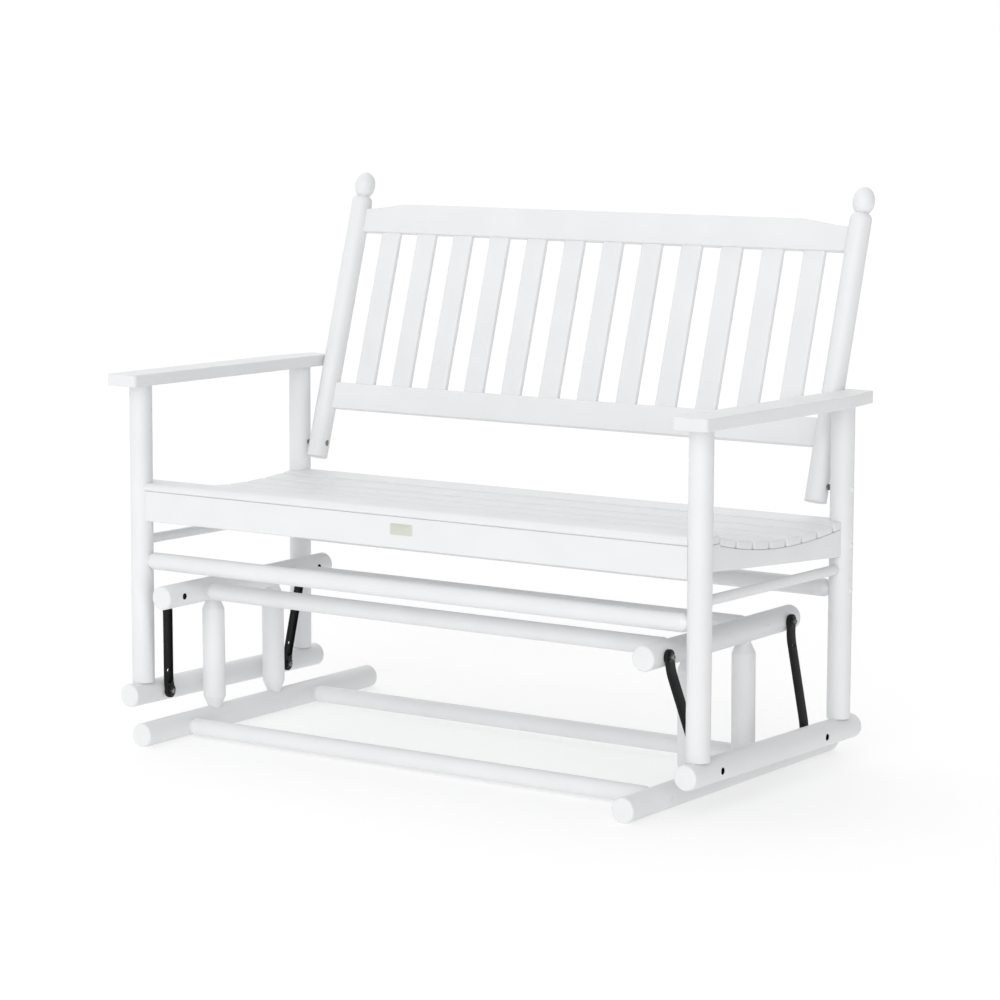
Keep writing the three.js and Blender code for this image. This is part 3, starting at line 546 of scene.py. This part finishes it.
# Lower rail: bored for the pins, with a wider mouth at the front one, and hollowed where the posts stand on it
def makeSeatRail(side, hand):
    rail, post, seat = seatRails, seatPosts, seatPosts["seat"]
    x, z, mouth = hand * rail["x"], rail["z"], rail["mouth"]
    profile = roundedRod(*rail["y"], rail["radius"], rail["edge"])
    mesh = turnedMesh("rail", profile, "y", (x, 0, z), "seat", barFaces)
    cutters = [turnedMesh("bore", plainRod(-cutterReach, cutterReach, radius), "x", (x, y, z), "seat", pinFaces)
               for y, radius in rail["bores"].values()]
    cutters += [mouthCutter(hand, mouth, "seat", rail["bores"]["front"][0], z)]
    foot = plainRod(post["z"][0] - seat["drop"], seat["top"], post["radius"] + seat["gap"])
    cutters += [turnedMesh("foot", foot, "z", (x, y, 0), "seat") for y in post["y"].values()]
    finishPiece(f"seatRail_{side}", mesh, "seat", paint, f"seat_rail_{side}", "seat", "y", cutters)
    for end, (y, _) in rail["bores"].items():
        makeShadeSleeve(f"lowShadeSleeve_{end}_{side}", hand, mouth, "seat", y, z)


def makeSeatPosts(side, hand):
    post, face = seatPosts, seatRails["x"] + seatPosts["radius"]
    for end, y in post["y"].items():
        shaft = roundedRod(*post["z"], post["radius"], post["edge"], steps=4)
        mesh = turnedMesh("post", shaft, "z", (hand * seatRails["x"], y, 0), "seat")
        finishPiece(f"seatPost_{end}_{side}", mesh, "seat", paint, f"seat_post_{end}_{side}", "seat", "z")
    for name, (height, radius, rise) in post["caps"].items():
        makeCap(f"{name}_{side}", hand, "seat", face, post["y"]["rear"], height, radius, rise)


def makeSideRod(side, hand):
    rod = sideRods
    low, high = rod["y"]
    tenon, shoulder = rod["tenonLength"], rod["tenonLength"] + rod["chamfer"]
    profile = softened([[rod["tenon"], low], [rod["tenon"], low + tenon], [rod["radius"], low + shoulder],
                        [rod["radius"], high - shoulder], [rod["tenon"], high - tenon], [rod["tenon"], high]],
                       rod["soften"])
    mesh = turnedMesh("rod", profile, "y", (hand * seatRails["x"], 0, rod["z"]), "seat", pinFaces)
    finishPiece(f"sideRod_{side}", mesh, "seat", paint, f"side_rod_{side}", "seat", "y")


def makeSeatFrame():
    for side, hand in hands:
        makeSeatRail(side, hand)
        makeSeatPosts(side, hand)
        makeSideRod(side, hand)


makeSeatFrame()
print("seat frame made")

# Seat slats: their tops follow one parabola down to the hollow and another up to the rear edge
seatSlats = {
    "reach": 620, "thickness": 14, "edge": 3, "ease": 2.2, "postGap": 0.35, "underGap": 0.3,
    "front": {"y": 15.0, "top": 471.4253, "width": 58, "nose": 9},
    "width": 48.25, "first": 73.625, "pitch": 53.75, "count": 8,
    "hollow": {"y": 289, "z": 439.9253, "frontRise": 28.5, "frontReach": -245, "rearRise": 12,
               "rearReach": 185},
}


# Middle, tilt and width of each slat, front to rear, in the seat frame
def slatPlaces():
    s, h = seatSlats, seatSlats["hollow"]
    y = s["first"] + s["pitch"] * np.arange(s["count"])
    front = y < h["y"]
    rise = np.where(front, h["frontRise"], h["rearRise"])
    reach = np.where(front, h["frontReach"], h["rearReach"])
    part = (y - h["y"]) / reach
    tilt = np.arctan(2 * rise * part / reach)
    half = s["thickness"] / 2
    middleY = np.concatenate([[s["front"]["y"]], y + half * np.sin(tilt)])
    middleZ = np.concatenate([[s["front"]["top"] - half], h["z"] + rise * part ** 2 - half * np.cos(tilt)])
    widths = np.concatenate([[s["front"]["width"]], np.full(s["count"], s["width"])])
    return middleY, middleZ, np.concatenate([[0.0], tilt]), widths


# Underside of the slats in Y and Z, two points for each slat, lowered by a small gap
def slatUnderline():
    y, z, tilt, width = slatPlaces()
    drop = seatSlats["thickness"] / 2 + seatSlats["underGap"]
    half = np.stack([-width, width], -1) / 2
    c, s = np.cos(tilt)[:, None], np.sin(tilt)[:, None]
    return (y[:, None] + half * c + drop * s).ravel(), (z[:, None] + half * s - drop * c).ravel()


def makeSlats():
    s = seatSlats
    for index, (y, z, tilt, width) in enumerate(zip(*slatPlaces())):
        e = s["edge"]
        radii = (e, e, s["front"]["nose"], e) if index == 0 else (e, e, e, e)
        a, b, length = barRings(-s["reach"], s["reach"], width, s["thickness"], radii, s["ease"])
        c, n = math.cos(tilt), math.sin(tilt)
        rings = placed(laid(a * c - b * n, a * n + b * c, length, "x", (0, y, z)), "seat")
        cutters = []
        for postY in seatPosts["y"].values():
            if abs(postY - y) < width / 2 + seatPosts["radius"]:
                notch = plainRod(z - cutterReach, z + cutterReach, seatPosts["radius"] + s["postGap"])
                cutters += [turnedMesh("notch", notch, "z", (hand * seatRails["x"], postY, 0), "seat", barFaces)
                            for _, hand in hands]
        mesh, node = closedMesh("slat", rings), f"seat_slat_{index + 1}"
        finishPiece(f"seatSlat_{index + 1}", mesh, "seat", paint, node, "seat", "x", cutters)


makeSlats()
print("slats made")

# Boards under the slats: apron, rear board, two side boards and a middle board
boards = {
    "postX": 610, "postRadius": 21.3, "edge": 3,
    "apron": {"y": 0, "z": (400.1253, 457.1253), "thickness": 22},
    "rear": {"y": 470, "z": (385.9253, 436.0), "thickness": 22},
    "side": {"thickness": 20, "edge": 1.5, "y": (0, 470), "bottom": (412.9253, 384.9253), "stations": 121},
    "middle": {"thickness": 20, "y": (11.3, 458.7)},
}


# A board between two round posts: every line along it ends at cope of the post, so both ends fit the posts
def copedRings(a, b, postAxis, radius, offset, stations=9):
    end = cope(postAxis, radius, offset)
    part = np.linspace(-1, 1, stations)[:, None]
    return a + 0 * part, b + 0 * part, part * end


def makeCrossBoards():
    s = boards
    for key, node in (("apron", "seat_apron"), ("rear", "seat_rear_board")):
        low, high = s[key]["z"]
        a, b = roundedSection(s[key]["thickness"], high - low, (s["edge"],) * 4)
        rings = laid(*copedRings(a, b, s["postX"], s["postRadius"], a), "x", (0, s[key]["y"], (low + high) / 2))
        mesh = closedMesh(key, placed(rings, "seat"))
        finishPiece(f"{key}Board", mesh, "seat", paint, node, "seat", "x")


# A board along Y whose lower edge falls in a line and whose upper edge follows the slats' undersides. Its
# section is drawn tall, then its upper half is moved to the upper edge and its lower half to the lower one.
def contouredMesh(name, x, thickness, startY, endY, tall=1000):
    s = boards["side"]
    bottom, depth = s["bottom"], s["y"][1]
    a, b = roundedSection(thickness, tall, (s["edge"],) * 4, steps=3)
    lineY, lineZ = slatUnderline()
    part = np.linspace(0, 1, s["stations"])[:, None]
    y = startY(a) + part * (endY(a) - startY(a))
    low = bottom[0] + (bottom[1] - bottom[0]) * y / depth
    z = np.where(b > 0, np.interp(y, lineY, lineZ) - (tall / 2 - b), low + (b + tall / 2))
    return closedMesh(name, placed(laid(a + x, z, y, "y"), "seat"))


# The small plate on the apron's face, left bare
plate = {"x": 1, "z": 434.5, "y": (-11.9, -10.6), "width": 48, "height": 20, "corner": 1.5, "ease": 0.6}


def makePlate():
    s = plate
    a, b, length = barRings(*s["y"], s["width"], s["height"], (s["corner"],) * 4, s["ease"])
    mesh = closedMesh("plate", placed(laid(a, b, length, "y", (s["x"], 0, s["z"])), "seat"))
    finishPiece("apronPlate", mesh, "seat", plateMetal, None, "seat", "x")


def makeContouredBoards():
    s = boards
    r = s["postRadius"]
    board, middle = s["side"], s["middle"]
    front, rear = board["y"]
    for side, hand in hands:
        mesh = contouredMesh("sideBoard", hand * s["postX"], board["thickness"],
                             lambda a: -cope(front, r, a), lambda a: cope(rear, r, a))
        finishPiece(f"sideBoard_{side}", mesh, "seat", paint, f"seat_side_board_{side}", "seat", "y")
    mesh = contouredMesh("middleBoard", 0, middle["thickness"],
                         lambda a: middle["y"][0] + 0 * a, lambda a: middle["y"][1] + 0 * a)
    finishPiece("middleBoard", mesh, "seat", paint, "seat_middle_board", "seat", "y")


makeCrossBoards()
makeContouredBoards()
makePlate()
print("boards made")

# Armrests: flat boards with rounded corners, the outer edge drawn in at the rear
arms = {
    "x": (581.3, 650.3), "y": (-50, 536), "z": (652.4253, 674.4253), "taperFrom": 424, "taper": 17,
    "corners": (9, 9, 60, 5, 5), "edge": 1.6,
}


# A convex outline with rounded corners: at each corner an arc that touches both sides, points spread by angle
def roundedOutline(corners, radii, steps=8):
    corners = np.array(corners, float)
    before, after = np.roll(corners, 1, 0) - corners, np.roll(corners, -1, 0) - corners
    before /= np.linalg.norm(before, axis=1)[:, None]
    after /= np.linalg.norm(after, axis=1)[:, None]
    bisector = before + after
    half = np.arccos(np.clip((before * after).sum(1), -1, 1)) / 2
    bisector /= np.linalg.norm(bisector, axis=1)[:, None]
    radii = np.array(radii, float)
    middle = corners + bisector * (radii / np.sin(half))[:, None]
    first = np.arctan2(-bisector[:, 1], -bisector[:, 0])
    sweep = np.pi / 2 - half
    angle = first[:, None] + np.linspace(-1, 1, steps + 1)[None] * sweep[:, None]
    normal = np.stack([np.cos(angle), np.sin(angle)], -1)
    return (middle[:, None] + radii[:, None, None] * normal).reshape(-1, 2), normal.reshape(-1, 2)


def makeArms():
    s = arms
    (inner, outer), (front, rear), (low, high) = s["x"], s["y"], s["z"]
    corners = [(inner, front), (outer, front), (outer, s["taperFrom"]), (outer - s["taper"], rear),
               (inner, rear)]
    outline, normal = roundedOutline(corners, s["corners"])
    inset, step = easedEnd(s["edge"], steps=6)
    insets = np.concatenate([inset, inset[::-1]])[:, None, None]
    heights = np.concatenate([low + step, high - step[::-1]])[:, None]
    ring = outline[None] - normal[None] * insets
    for side, hand in hands:
        rings = laid(hand * ring[..., 0], ring[..., 1], heights + 0 * ring[..., 0], "z")
        mesh = closedMesh("arm", placed(rings, "seat"))
        finishPiece(f"armrest_{side}_board", mesh, "seat", paint, f"armrest_{side}", "seat", "y")


makeArms()
print("armrests made")

# Backrest: turned posts with ball finials, two rails and twelve flat slats
backPosts = {
    "x": 561, "radius": 20, "edge": 2, "shoulder": 513, "shoulderHeight": 12.5, "neck": 11.5, "neckHeight": 0.5,
    "ballHeight": 48, "tip": 0.05,
}


# Back post: shaft, shoulder as a quarter ellipse, neck, then a ball of radius R sin a and height -cos a, scaled
def backPostProfile():
    s = backPosts
    start = arc((s["radius"] - s["edge"], s["edge"]), s["edge"], -90, 0, steps=4)
    turn = np.linspace(0, np.pi / 2, 9)
    shoulder = np.stack([s["radius"] - (s["radius"] - s["neck"]) * (1 - np.cos(turn)),
                         s["shoulder"] + s["shoulderHeight"] * np.sin(turn)], -1)
    ballStart = s["shoulder"] + s["shoulderHeight"] + s["neckHeight"]
    first = math.asin(s["neck"] / s["radius"])
    scale = s["ballHeight"] / (1 + math.cos(first))
    turn = np.linspace(first, np.pi, 33)[:-1]
    ball = np.stack([s["radius"] * np.sin(turn), ballStart + scale * (math.cos(first) - np.cos(turn))], -1)
    tip = [[s["tip"], ballStart + s["ballHeight"]]]
    return np.concatenate([start, shoulder, ball, tip])


backRails = {
    "thickness": 20, "setback": 4, "edge": 3.5, "postRadius": 20.3,
    "lower": (99, 151), "crest": (454, 512), "drop": 11, "dropFrom": 435, "dropTo": 541,
    "stations": 121,
}


# Rail between the leaning posts; the crest's upper edge falls at its ends by half a cosine wave
def makeBackRails():
    s = backRails
    for key, node in (("lower", "back_lower_rail"), ("crest", "back_crest_rail")):
        low, high = s[key]
        a, b = roundedSection(s["thickness"], high - low, (s["edge"],) * 4)
        a = a + s["setback"]
        a, b, x = copedRings(a, b, backPosts["x"], s["postRadius"], a, s["stations"])
        z = b + (low + high) / 2
        if key == "crest":
            part = np.clip((np.abs(x) - s["dropFrom"]) / (s["dropTo"] - s["dropFrom"]), 0, 1)
            z = z - np.where(b > 0, s["drop"] * (1 - np.cos(part * np.pi)) / 2, 0)
        mesh = closedMesh(key, placed(laid(a, z, x, "x"), "back"))
        finishPiece(f"{key}Rail", mesh, "seat", paint, node, "back", "x")


backSlats = {
    "first": -476.3846, "pitch": 86.6154, "count": 12, "width": 44, "thickness": 12, "height": (142.3, 462.7),
    "edge": 3.8, "ease": 0.5,
}


def makeBackSlats():
    s = backSlats
    a, b, length = barRings(*s["height"], s["width"], s["thickness"], (s["edge"],) * 4, s["ease"])
    for index in range(s["count"]):
        x = s["first"] + s["pitch"] * index
        mesh = closedMesh("backSlat", placed(laid(a, b, length, "z", (x, backRails["setback"], 0)), "back"))
        finishPiece(f"backSlat_{index + 1}", mesh, "seat", paint, f"back_slat_{index + 1}", "back", "z")


# Bolts through the seat posts into the back posts, each with its nut sunk into the back post's inner side
backBolts = {
    "y": 470, "z": 505.4253, "inset": 29, "rod": 4, "nut": 6, "nutFrom": 544, "nutTo": 550, "end": 629,
    "washer": 5.4, "washerFrom": 581.6, "washerTo": 584.6, "nutEdge": 0.8, "washerEdge": 0.2,
    "recess": (9.3, 6.3), "bore": (45, 4.3), "overrun": 5,   # depth and radius, then the cutters' start outside
}


def makeBackPosts():
    bolt = backBolts
    for side, hand in hands:
        mesh = turnedMesh("backPost", backPostProfile(), "z", (hand * backPosts["x"], 0, 0), "back", barFaces)
        at = (hand * (backPosts["x"] - backPosts["radius"]), 0, bolt["inset"])
        bores = [plainRod(-bolt["overrun"], *bolt[key]) * [1, hand] for key in ("recess", "bore")]
        cutters = [turnedMesh("bore", bore, "x", at, "back", pinFaces) for bore in bores]
        finishPiece(f"backPost_{side}", mesh, "seat", paint, f"back_post_{side}", "back", "z", cutters)


def makeBackBolts():
    s = backBolts
    profile = np.array([
        [s["nut"] - s["nutEdge"], s["nutFrom"]], [s["nut"], s["nutFrom"] + s["nutEdge"]],
        [s["nut"], s["nutTo"]], [s["rod"], s["nutTo"]], [s["rod"], s["washerFrom"]],
        [s["washer"], s["washerFrom"] + s["washerEdge"]], [s["washer"], s["washerTo"]],
        [s["rod"], s["washerTo"] + s["washerEdge"]], [s["rod"], s["end"]]])
    for side, hand in hands:
        mesh = turnedMesh("bolt", profile * [1, hand], "x", (0, s["y"], s["z"]), "seat", pinFaces)
        finishPiece(f"backBolt_{side}", mesh, "seat", zinc, f"back_bolt_{side}", "seat", "x")


makeBackPosts()
makeBackRails()
makeBackSlats()
makeBackBolts()
print("backrest made")

# Swing links: pressed channels with round bosses, cranked outwards, each with two pivot bolts
links = {
    "x": 549.5, "length": 198, "crank": 31, "straight": (28, 16), "width": 22, "depth": 7, "wall": 2.5,
    "boss": 13, "bend": 12, "corner": 1.6, "hollowCorner": 1.2, "hollowGap": 2, "hollowOpen": -6, "hole": 3.2,
    "holeInset": 42, "holeReach": 60,
    "cornerShare": 0.8,   # of the half width, the most that a corner's radius takes
    "stations": 67, "bossStations": 10, "hollowStations": 60,   # along the link, a boss's end and the hollow
}


# Crank of the link along its length: straight, slanted, straight, with the two bends rounded by a smooth blend
def crankAt(down):
    s = links
    start, end = s["straight"][0], s["length"] - s["straight"][1]
    slope = s["crank"] / (end - start)
    bend = s["bend"]

    def ramp(t):  # 0 before, t after, with a parabola over the bend
        return np.where(t < -bend, 0, np.where(t > bend, t, (t + bend) ** 2 / (4 * bend)))
    return slope * (ramp(down - start) - ramp(down - end))


# Width of the link along its length: the channel's own width, swelling to the round boss at either pivot
def halfWidthAt(down):
    s = links
    near = np.minimum(np.abs(down), np.abs(down - s["length"]))
    circle = np.sqrt(np.maximum(s["boss"] ** 2 - near ** 2, 0))
    return np.maximum(circle, np.where((down > 0) & (down < s["length"]), s["width"] / 2, 0))


# A place down a link and across it, in the base's Y and Z, turned by the link's lean
def onLink(place, down, across=0.0):
    lean = math.radians(pivots[place]["lean"])
    topY, topZ = pivots[place]["top"]
    return (topY + down * math.sin(lean) + across * math.cos(lean),
            topZ - down * math.cos(lean) + across * math.sin(lean))


# A body along the link: at each station a section with rounded corners, half wide on either side, reaching from
# low to high outwards, and moved out by crankAt
def alongLink(name, hand, place, stations, half, low, high, corner):
    corner = np.minimum(corner, half * links["cornerShare"])[:, None]
    angle = np.radians(np.array([-90, 0, 90, 180])[:, None] + np.linspace(0, 90, 4)).ravel()
    signA, signB = np.repeat([1, 1, -1, -1], 4), np.repeat([-1, 1, 1, -1], 4)
    across = signA * (half[:, None] - corner) + corner * np.cos(angle)
    out = (low + high) / 2 + signB * ((high - low) / 2 - corner) + corner * np.sin(angle)
    y, z = onLink(place, stations[:, None], across)
    x = hand * (links["x"] + out + crankAt(stations)[:, None])
    return closedMesh(name, placed(np.stack([x, y, z], -1), "base"))


# The stations follow the round end of either boss, spread by the cosine of the angle round it
def linkMesh(hand, place):
    s = links
    ends = s["boss"] * np.cos(np.linspace(0, np.pi / 2, s["bossStations"]))
    stations = np.unique(np.round(np.concatenate([
        -ends + sliver, np.linspace(0, s["length"], s["stations"]), s["length"] + ends - sliver]), 4))
    return alongLink("link", hand, place, stations, halfWidthAt(stations), 0, s["depth"], s["corner"])


# The channel's hollow, round at either end, and the small spare hole, as cutting shapes
def linkCutters(hand, place, holeFromTop):
    s = links
    inset = s["boss"] + s["hollowGap"]
    stations = np.linspace(inset, s["length"] - inset, s["hollowStations"])
    half = s["width"] / 2 - s["wall"]
    endRound = np.clip(np.minimum(stations - stations[0], stations[-1] - stations) / half, sliver, 1)
    widths = half * np.sqrt(1 - (1 - endRound) ** 2)
    hollow = alongLink("hollow", hand, place, stations, widths, s["hollowOpen"], s["depth"] - s["wall"],
                       s["hollowCorner"])
    down = s["holeInset"] if holeFromTop else s["length"] - s["holeInset"]
    hole = plainRod(-s["holeReach"], s["holeReach"], s["hole"])
    return [hollow, turnedMesh("hole", hole, "x", (hand * s["x"], *onLink(place, down)), "base", capFaces)]


# Pivot bolt: a pin that ends inside its rail, a black washer, and a six-sided nut with a domed end
pivotBolts = {
    "pin": 4, "length": 41.5, "ease": 0.8, "washer": 9, "washerThick": 1.6, "washerEdge": 0.5, "nut": 5.2,
    "nutHigh": 4.4, "nutSunk": 0.1, "nutEdge": 0.7, "topShare": 0.9, "dome": 3.6, "domeHigh": 2.2,
}


def pinMesh(facing, x, y, z):
    s = pivotBolts
    profile = np.array([
        [s["pin"] - s["ease"], -s["length"]], [s["pin"], s["ease"] - s["length"]], [s["pin"], 0],
        [s["washer"], 0], [s["washer"], s["washerThick"] - s["washerEdge"]],
        [s["washer"] - s["washerEdge"], s["washerThick"]]])
    return turnedMesh("pin", profile * [1, facing], "x", (x, y, z), "base", pinFaces)


# The nut's rings are hexagons, flat distance over the cosine of the angle from the nearest flat, then circles
def nutMesh(facing, x, y, z):
    s = pivotBolts
    angle = np.linspace(0, 2 * np.pi, pinFaces, endpoint=False)
    hexagon = s["nut"] * math.cos(math.pi / 6) / np.cos(angle % (math.pi / 3) - math.pi / 6)
    low, high = s["washerThick"] - s["nutSunk"], s["washerThick"] + s["nutHigh"]
    t = np.linspace(0, np.pi / 2, 7)[:, None]
    dome = np.maximum(s["dome"] * np.cos(t), sliver)
    rim = np.minimum(hexagon, s["nut"] * s["topShare"])
    radius = np.concatenate([[hexagon], [hexagon], [rim], dome + 0 * angle])
    heights = np.concatenate([[[low], [high - s["nutEdge"]], [high]], high + s["domeHigh"] * np.sin(t)])
    a, b, h = radius * np.cos(angle), radius * np.sin(angle), facing * (heights + 0 * angle)
    return closedMesh("nut", placed(laid(a, b, h, "x", (x, y, z)), "base"))


def makeLinks():
    s = links
    for side, hand in hands:
        for place, pivot in pivots.items():
            body = f"link_{place}_{side}"
            cutters = linkCutters(hand, place, place == "rear" and side == "right")
            finishPiece(f"swingLink_{place}_{side}", linkMesh(hand, place), body, coat,
                        f"swing_link_{place}_{side}", "base", "z", cutters)
            ends = {"top": (hand, hand * (s["x"] + s["depth"])), "low": (-hand, hand * (s["x"] + s["crank"]))}
            for end, (facing, x) in ends.items():
                pin, nut = pinMesh(facing, x, *pivot[end]), nutMesh(facing, x, *pivot[end])
                finishPiece(f"{end}Pin_{place}_{side}", pin, body, oxide, None, "base", "x")
                finishPiece(f"{end}Nut_{place}_{side}", nut, body, zinc, None, "base", "x")


makeLinks()
print("links made,", pieceCount, "pieces in all")

# Plain pale floor and soft studio light. The sky's strength is a level plus the ray's dot product with a slope,
# so it is brightest high up, behind the bench and to its left. A white band lies along the horizon, like the
# far end of a paper sweep, and the floor glows a little, as paper lit from below does, which keeps it white and
# its shadows faint.
studio = {
    "floor": "#c4c4c4", "glow": 0.48, "roughness": 0.8, "floorSize": 400, "white": "#ffffff",
    "level": 0.02, "slope": (-0.75, 0.5, 1.05), "least": 0.05, "band": (0.05, 0.16),
}


def makeStudio():
    s = studio
    corner = s["floorSize"]
    mesh = bpy.data.meshes.new("studioFloor")
    mesh.from_pydata([(-corner, -corner, 0), (corner, -corner, 0), (corner, corner, 0), (-corner, corner, 0)],
                     [], [(0, 1, 2, 3)])
    floor = addObject("studioFloor", mesh)
    material, tree = newMaterial("paleFloor")
    finishFrom(tree, {
        "Base Color": hexColour(s["floor"]), "Roughness": s["roughness"], "Specular IOR Level": 0.0,
        "Emission Color": hexColour(s["white"]), "Emission Strength": s["glow"]}, {})
    mesh.materials.append(material)
    world = bpy.data.worlds.new("studioSky")
    world.use_nodes = True
    world.node_tree.nodes.clear()
    tree = world.node_tree
    ray = addNode(tree, "ShaderNodeTexCoord")
    tilted = addNode(tree, "ShaderNodeVectorMath", {1: s["slope"]}, {0: ray.outputs["Generated"]},
                     operation="DOT_PRODUCT")
    lifted = addNode(tree, "ShaderNodeMath", {1: s["level"]}, {0: tilted.outputs["Value"]}, operation="ADD")
    height = addNode(tree, "ShaderNodeSeparateXYZ", links={"Vector": ray.outputs["Generated"]})
    band = addNode(tree, "ShaderNodeMapRange",
                   {"From Min": s["band"][0], "From Max": s["band"][1], "To Min": 1.0, "To Max": s["least"]},
                   {"Value": height.outputs["Z"]}, interpolation_type="SMOOTHSTEP")
    strength = addNode(tree, "ShaderNodeMath", links={0: lifted.outputs["Value"], 1: band.outputs["Result"]},
                       operation="MAXIMUM")
    sky = addNode(tree, "ShaderNodeBackground", {"Color": hexColour(s["white"])},
                  {"Strength": strength.outputs["Value"]})
    addNode(tree, "ShaderNodeOutputWorld", links={"Surface": sky.outputs["Background"]})
    bpy.context.scene.world = world
    bpy.context.scene.view_settings.view_transform = "Standard"   # plain colours, as a catalogue picture has


# One broad distant lamp: the direction it stands in, its spread in degrees and its strength
frontLight = {"from": (0.42, -0.86, 0.29), "spread": 70, "strength": 2.17}


def makeLamp():
    s = frontLight
    lamp = bpy.data.lights.new("frontLight", "SUN")
    lamp.angle, lamp.energy = math.radians(s["spread"]), s["strength"]
    holder = addObject("frontLight", lamp)
    holder.rotation_euler = (-Vector(s["from"])).to_track_quat("-Z", "Y").to_euler()


# Camera at the photograph's angle: place in metres, azimuth, downward tilt and roll in degrees, focal length
# and sensor in mm for a square picture, and how far it sees in metres
view = {
    "place": (3.5087, -4.9296, 1.3244), "azimuth": 35.325, "down": 8.184, "roll": -0.255, "lens": 121.08,
    "sensor": 36, "sees": 200,
}


def makeCamera():
    s = view
    az, el, roll = (math.radians(s[key]) for key in ("azimuth", "down", "roll"))
    ahead = np.array([-math.sin(az) * math.cos(el), math.cos(az) * math.cos(el), -math.sin(el)])
    right = np.array([math.cos(az), math.sin(az), 0])
    up = np.cross(right, ahead)
    turnedRight = math.cos(roll) * right + math.sin(roll) * up
    turnedUp = math.cos(roll) * up - math.sin(roll) * right
    camera = bpy.data.cameras.new("photoCamera")
    camera.lens, camera.sensor_width, camera.sensor_fit = s["lens"], s["sensor"], "HORIZONTAL"
    camera.clip_end = s["sees"]
    holder = addObject("photoCamera", camera)
    turn = Matrix(np.stack([turnedRight, turnedUp, -ahead], -1).tolist()).to_4x4()
    holder.matrix_world = Matrix.Translation(s["place"]) @ turn
    bpy.context.scene.camera = holder


makeStudio()
makeLamp()
makeCamera()
print("studio and camera made")
